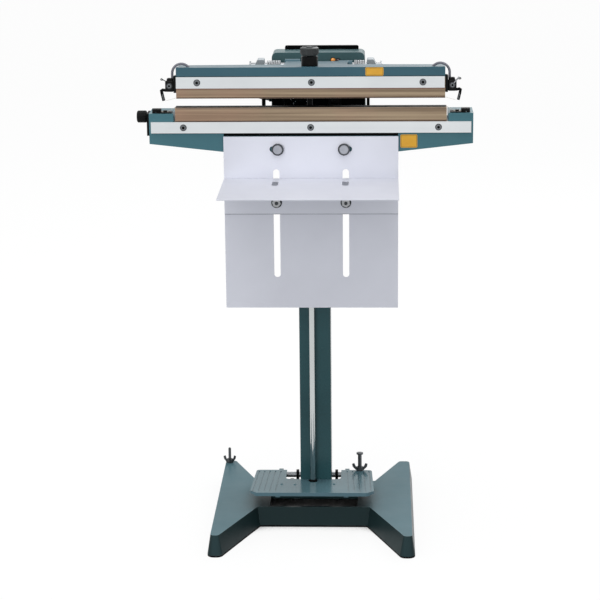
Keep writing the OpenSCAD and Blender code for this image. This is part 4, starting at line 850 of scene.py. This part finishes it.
# The right-hand terminal; its mirror image is on the left. A box is (low corner, high corner, edge width).
terminal = {"boxes": {"Plate": ((230.3, -65.9, 767.3), (235, -43.9, 796.8), 1.2),
                      "Block": ((234.6, -64, 769), (249.6, -46, 788), 2.6),
                      "Saddle": ((236, -62, 786), (247, -49, 792.4), 2.2)},
            "lever": [(248, -57, 771.2), (254.6, -57, 772.2), (256.4, -57, 771), (255.6, -57, 766),
                      (252.6, -57, 753.6)],
            "leverWide": 9, "leverThick": 4.4,
            "stripe": [(254.8, -61.6, 765), (252.6, -61.6, 755.6)],
            "ear": [(248, -62, 787), (252.4, -63, 789.4), (255.4, -63, 792.2), (257.2, -62.4, 790.6),
                    (255.6, -62, 788.6), (253, -62, 789.6)], "earRadius": 0.8,
            "screw": (242.4, -63.8, 779), "screwSize": (3.8, 5.2, 1.8),
            "bolt": [(245, -64.6, 783), (249, -65.4, 787.4), (254, -66, 793.2)], "boltRadius": 1.3}


def makeUpperTerminal(name, side):
    def mirrored(points):
        return [(side * x, y, z) for x, y, z in points]
    pieces = []
    for part, (low, high, edge) in terminal["boxes"].items():
        left, right = sorted((side * low[0], side * high[0]))
        pieces.append(block(name + part, (left, *low[1:]), (right, *high[1:]), edge, 3))
        paintAll(pieces[-1], finishes["black_plastic"])
    lever = strap(name + "Lever", mirrored(terminal["lever"]), terminal["leverWide"], terminal["leverThick"], "Y", 0.7)
    paintAll(lever, finishes["black_steel"])
    stripe = strap(name + "Stripe", mirrored(terminal["stripe"]), 0.5, 1.0, "Y")
    paintAll(stripe, screwFace)
    ear = wire(name + "Ear", mirrored(terminal["ear"]), terminal["earRadius"])
    paintAll(ear, springSteel)
    screw = capScrew(name + "Screw", mirrored([terminal["screw"]])[0], "-Y", *terminal["screwSize"])
    pieces += [lever, stripe, ear, screw]
    if side > 0:  # the slack end of the clamp bolt stands out on this side
        bolt = wire(name + "Bolt", terminal["bolt"], terminal["boltRadius"])
        paintAll(bolt, finishes["bright_steel"])
        pieces.append(bolt)
    return joined(name, pieces)


ends = joined("upperTerminals", [makeUpperTerminal("upperTerminalLeft", -1),
                                 makeUpperTerminal("upperTerminalRight", 1)])
seat(raiseArm(ends), "arm", slotOf["upper_terminals"], "upper_terminals")

lowerEnds = casting("lower_terminals", 0.5)
paintAll(lowerEnds, finishes["black_plastic"])
seat(lowerEnds, "stand", slotOf["lower_terminals"], "lower_terminals")

lead = casting("heater_leads", 0)
takeOnly(lead)
bpy.ops.object.shade_smooth_by_angle(angle=math.radians(60))
seat(lead, "arm", slotOf["heater_leads"], "heater_leads")
for node, width in [("inlet_gland", 0.4), ("power_rocker", 0.5), ("limit_screw", 0.2),
                    ("levelling_screw", 0.2), ("pedal_shaft", 0.5)]:
    seatCasting(node, width, 2)
print("pedal fittings and terminals made")

# A pilot lamp's spot is its x, the lens radius and its tint.
lamp = {"z": 807, "face": 154, "spots": ((34, 4.3, "amber"), (43, 3.2, "dark"))}
lights = []
for x, radius, tint in lamp["spots"]:
    spot = (x, lamp["face"], lamp["z"])
    rings = [(radius + 0.4, -0.4), (radius + 0.7, 0.2), (radius + 0.7, 1.3), (radius + 0.1, 1.9)]
    bezel = turned("lampBezel" + tint, rings, 32, "-Y", spot)
    paintAll(bezel, finishes["black_plastic"])
    rings = [(radius, 0.5), (radius, 3), (radius * 0.93, 4.7), (radius * 0.74, 6.2), (radius * 0.42, 7.1),
             (radius * 0.1, 7.3)]
    dome = turned("lampDome" + tint, rings, 32, "-Y", spot, 60)
    paintAll(dome, finishes["lamp_amber"] if tint == "amber" else darkLens)
    lights += [bezel, dome]
seat(joined("pilotLamps", lights), "stand", slotOf["pilot_lamps"], "pilot_lamps")

# The scale has a number at each step; firstTurn and stepTurn are in degrees.
timer = {"x": -25, "z": 742, "face": 152.4, "sides": 72, "ribStart": 8.2, "groove": 0.04, "numbers": 10,
         "numberRadius": 19.2, "letter": 4.4, "tickFrom": 13, "tickTo": 15.4, "firstTurn": 225, "stepTurn": 27}
rings = [(10.4, 0.6), (11, 1.0), (11, 2.2), (9.4, 3.2), (8.7, 3.6), (8.3, 11.8), (7.5, 12.9), (5, 13.2), (4.8, 12.8),
         (1.5, 12.8)]
dial = turned("timerDial", rings, timer["sides"], "-Y", (timer["x"], timer["face"], timer["z"]), 32)
knurl(dial, (timer["x"], 0, timer["z"]), "Y", timer["ribStart"], timer["groove"], 4, timer["sides"])
paintAll(dial, finishes["black_plastic"])
pointer = block("dialPointer", (timer["x"] - 0.45, 139.0, timer["z"] + 1),
                (timer["x"] + 0.45, 139.4, timer["z"] + 7.4), 0.1, 1)
paintAll(pointer, paleInk)
stem = turned("dialStem", [(3, 0), (3, 13)], 20, "Y", (timer["x"], timer["face"] - 1, timer["z"]))
paintAll(stem, finishes["bolt_steel"])
seat(joined("timerDial", [dial, pointer, stem]), "timer_dial", slotOf["timer_knob"], "timer_knob")


def printed(name, text, x, z, size):
    bpy.ops.object.select_all(action="DESELECT")
    bpy.ops.object.text_add(location=(x * mm, (timer["face"] - 0.12) * mm, z * mm), rotation=(math.pi / 2, 0, 0))
    word = bpy.context.object
    word.name = name
    word.data.body, word.data.size = text, size * mm
    word.data.align_x, word.data.align_y, word.data.extrude = "CENTER", "CENTER", 0.00008
    takeOnly(word)
    bpy.ops.object.convert(target="MESH")
    settle(bpy.context.object)
    return bpy.context.object


marks = []
for i in range(timer["numbers"] + 1):
    turn = math.radians(timer["firstTurn"] - i * timer["stepTurn"])
    out = Vector((math.cos(turn), math.sin(turn))) * timer["numberRadius"]
    marks.append(printed(f"dialNumber{i}", str(i), timer["x"] + out.x, timer["z"] + out.y, timer["letter"]))
    tick = block(f"dialTick{i}", (timer["x"] + timer["tickFrom"], timer["face"] - 0.2, timer["z"] - 0.25),
                 (timer["x"] + timer["tickTo"], timer["face"] + 0.05, timer["z"] + 0.25), 0.06, 1)
    centre = Vector((timer["x"], timer["face"], timer["z"])) * mm
    tick.matrix_world = (Matrix.Translation(centre) @ Matrix.Rotation(-turn, 4, "Y")
                         @ Matrix.Translation(-centre))
    settle(tick)
    marks.append(tick)
rockerMarks = {"x": 37, "onZ": 761, "offZ": 719.5, "letter": 5}
for name, text, z in (("onMark", "I", rockerMarks["onZ"]), ("offMark", "O", rockerMarks["offZ"])):
    marks.append(printed(name, text, rockerMarks["x"], z, rockerMarks["letter"]))
seat(joined("panelMarks", marks), "stand", slotOf["front_panel"], finish=paleInk)
print("panel fittings and marks made")

for node, source in frame["nodes"].items():
    if not source.hide_render:
        paintAll(source, finishes[slotOf[node]])
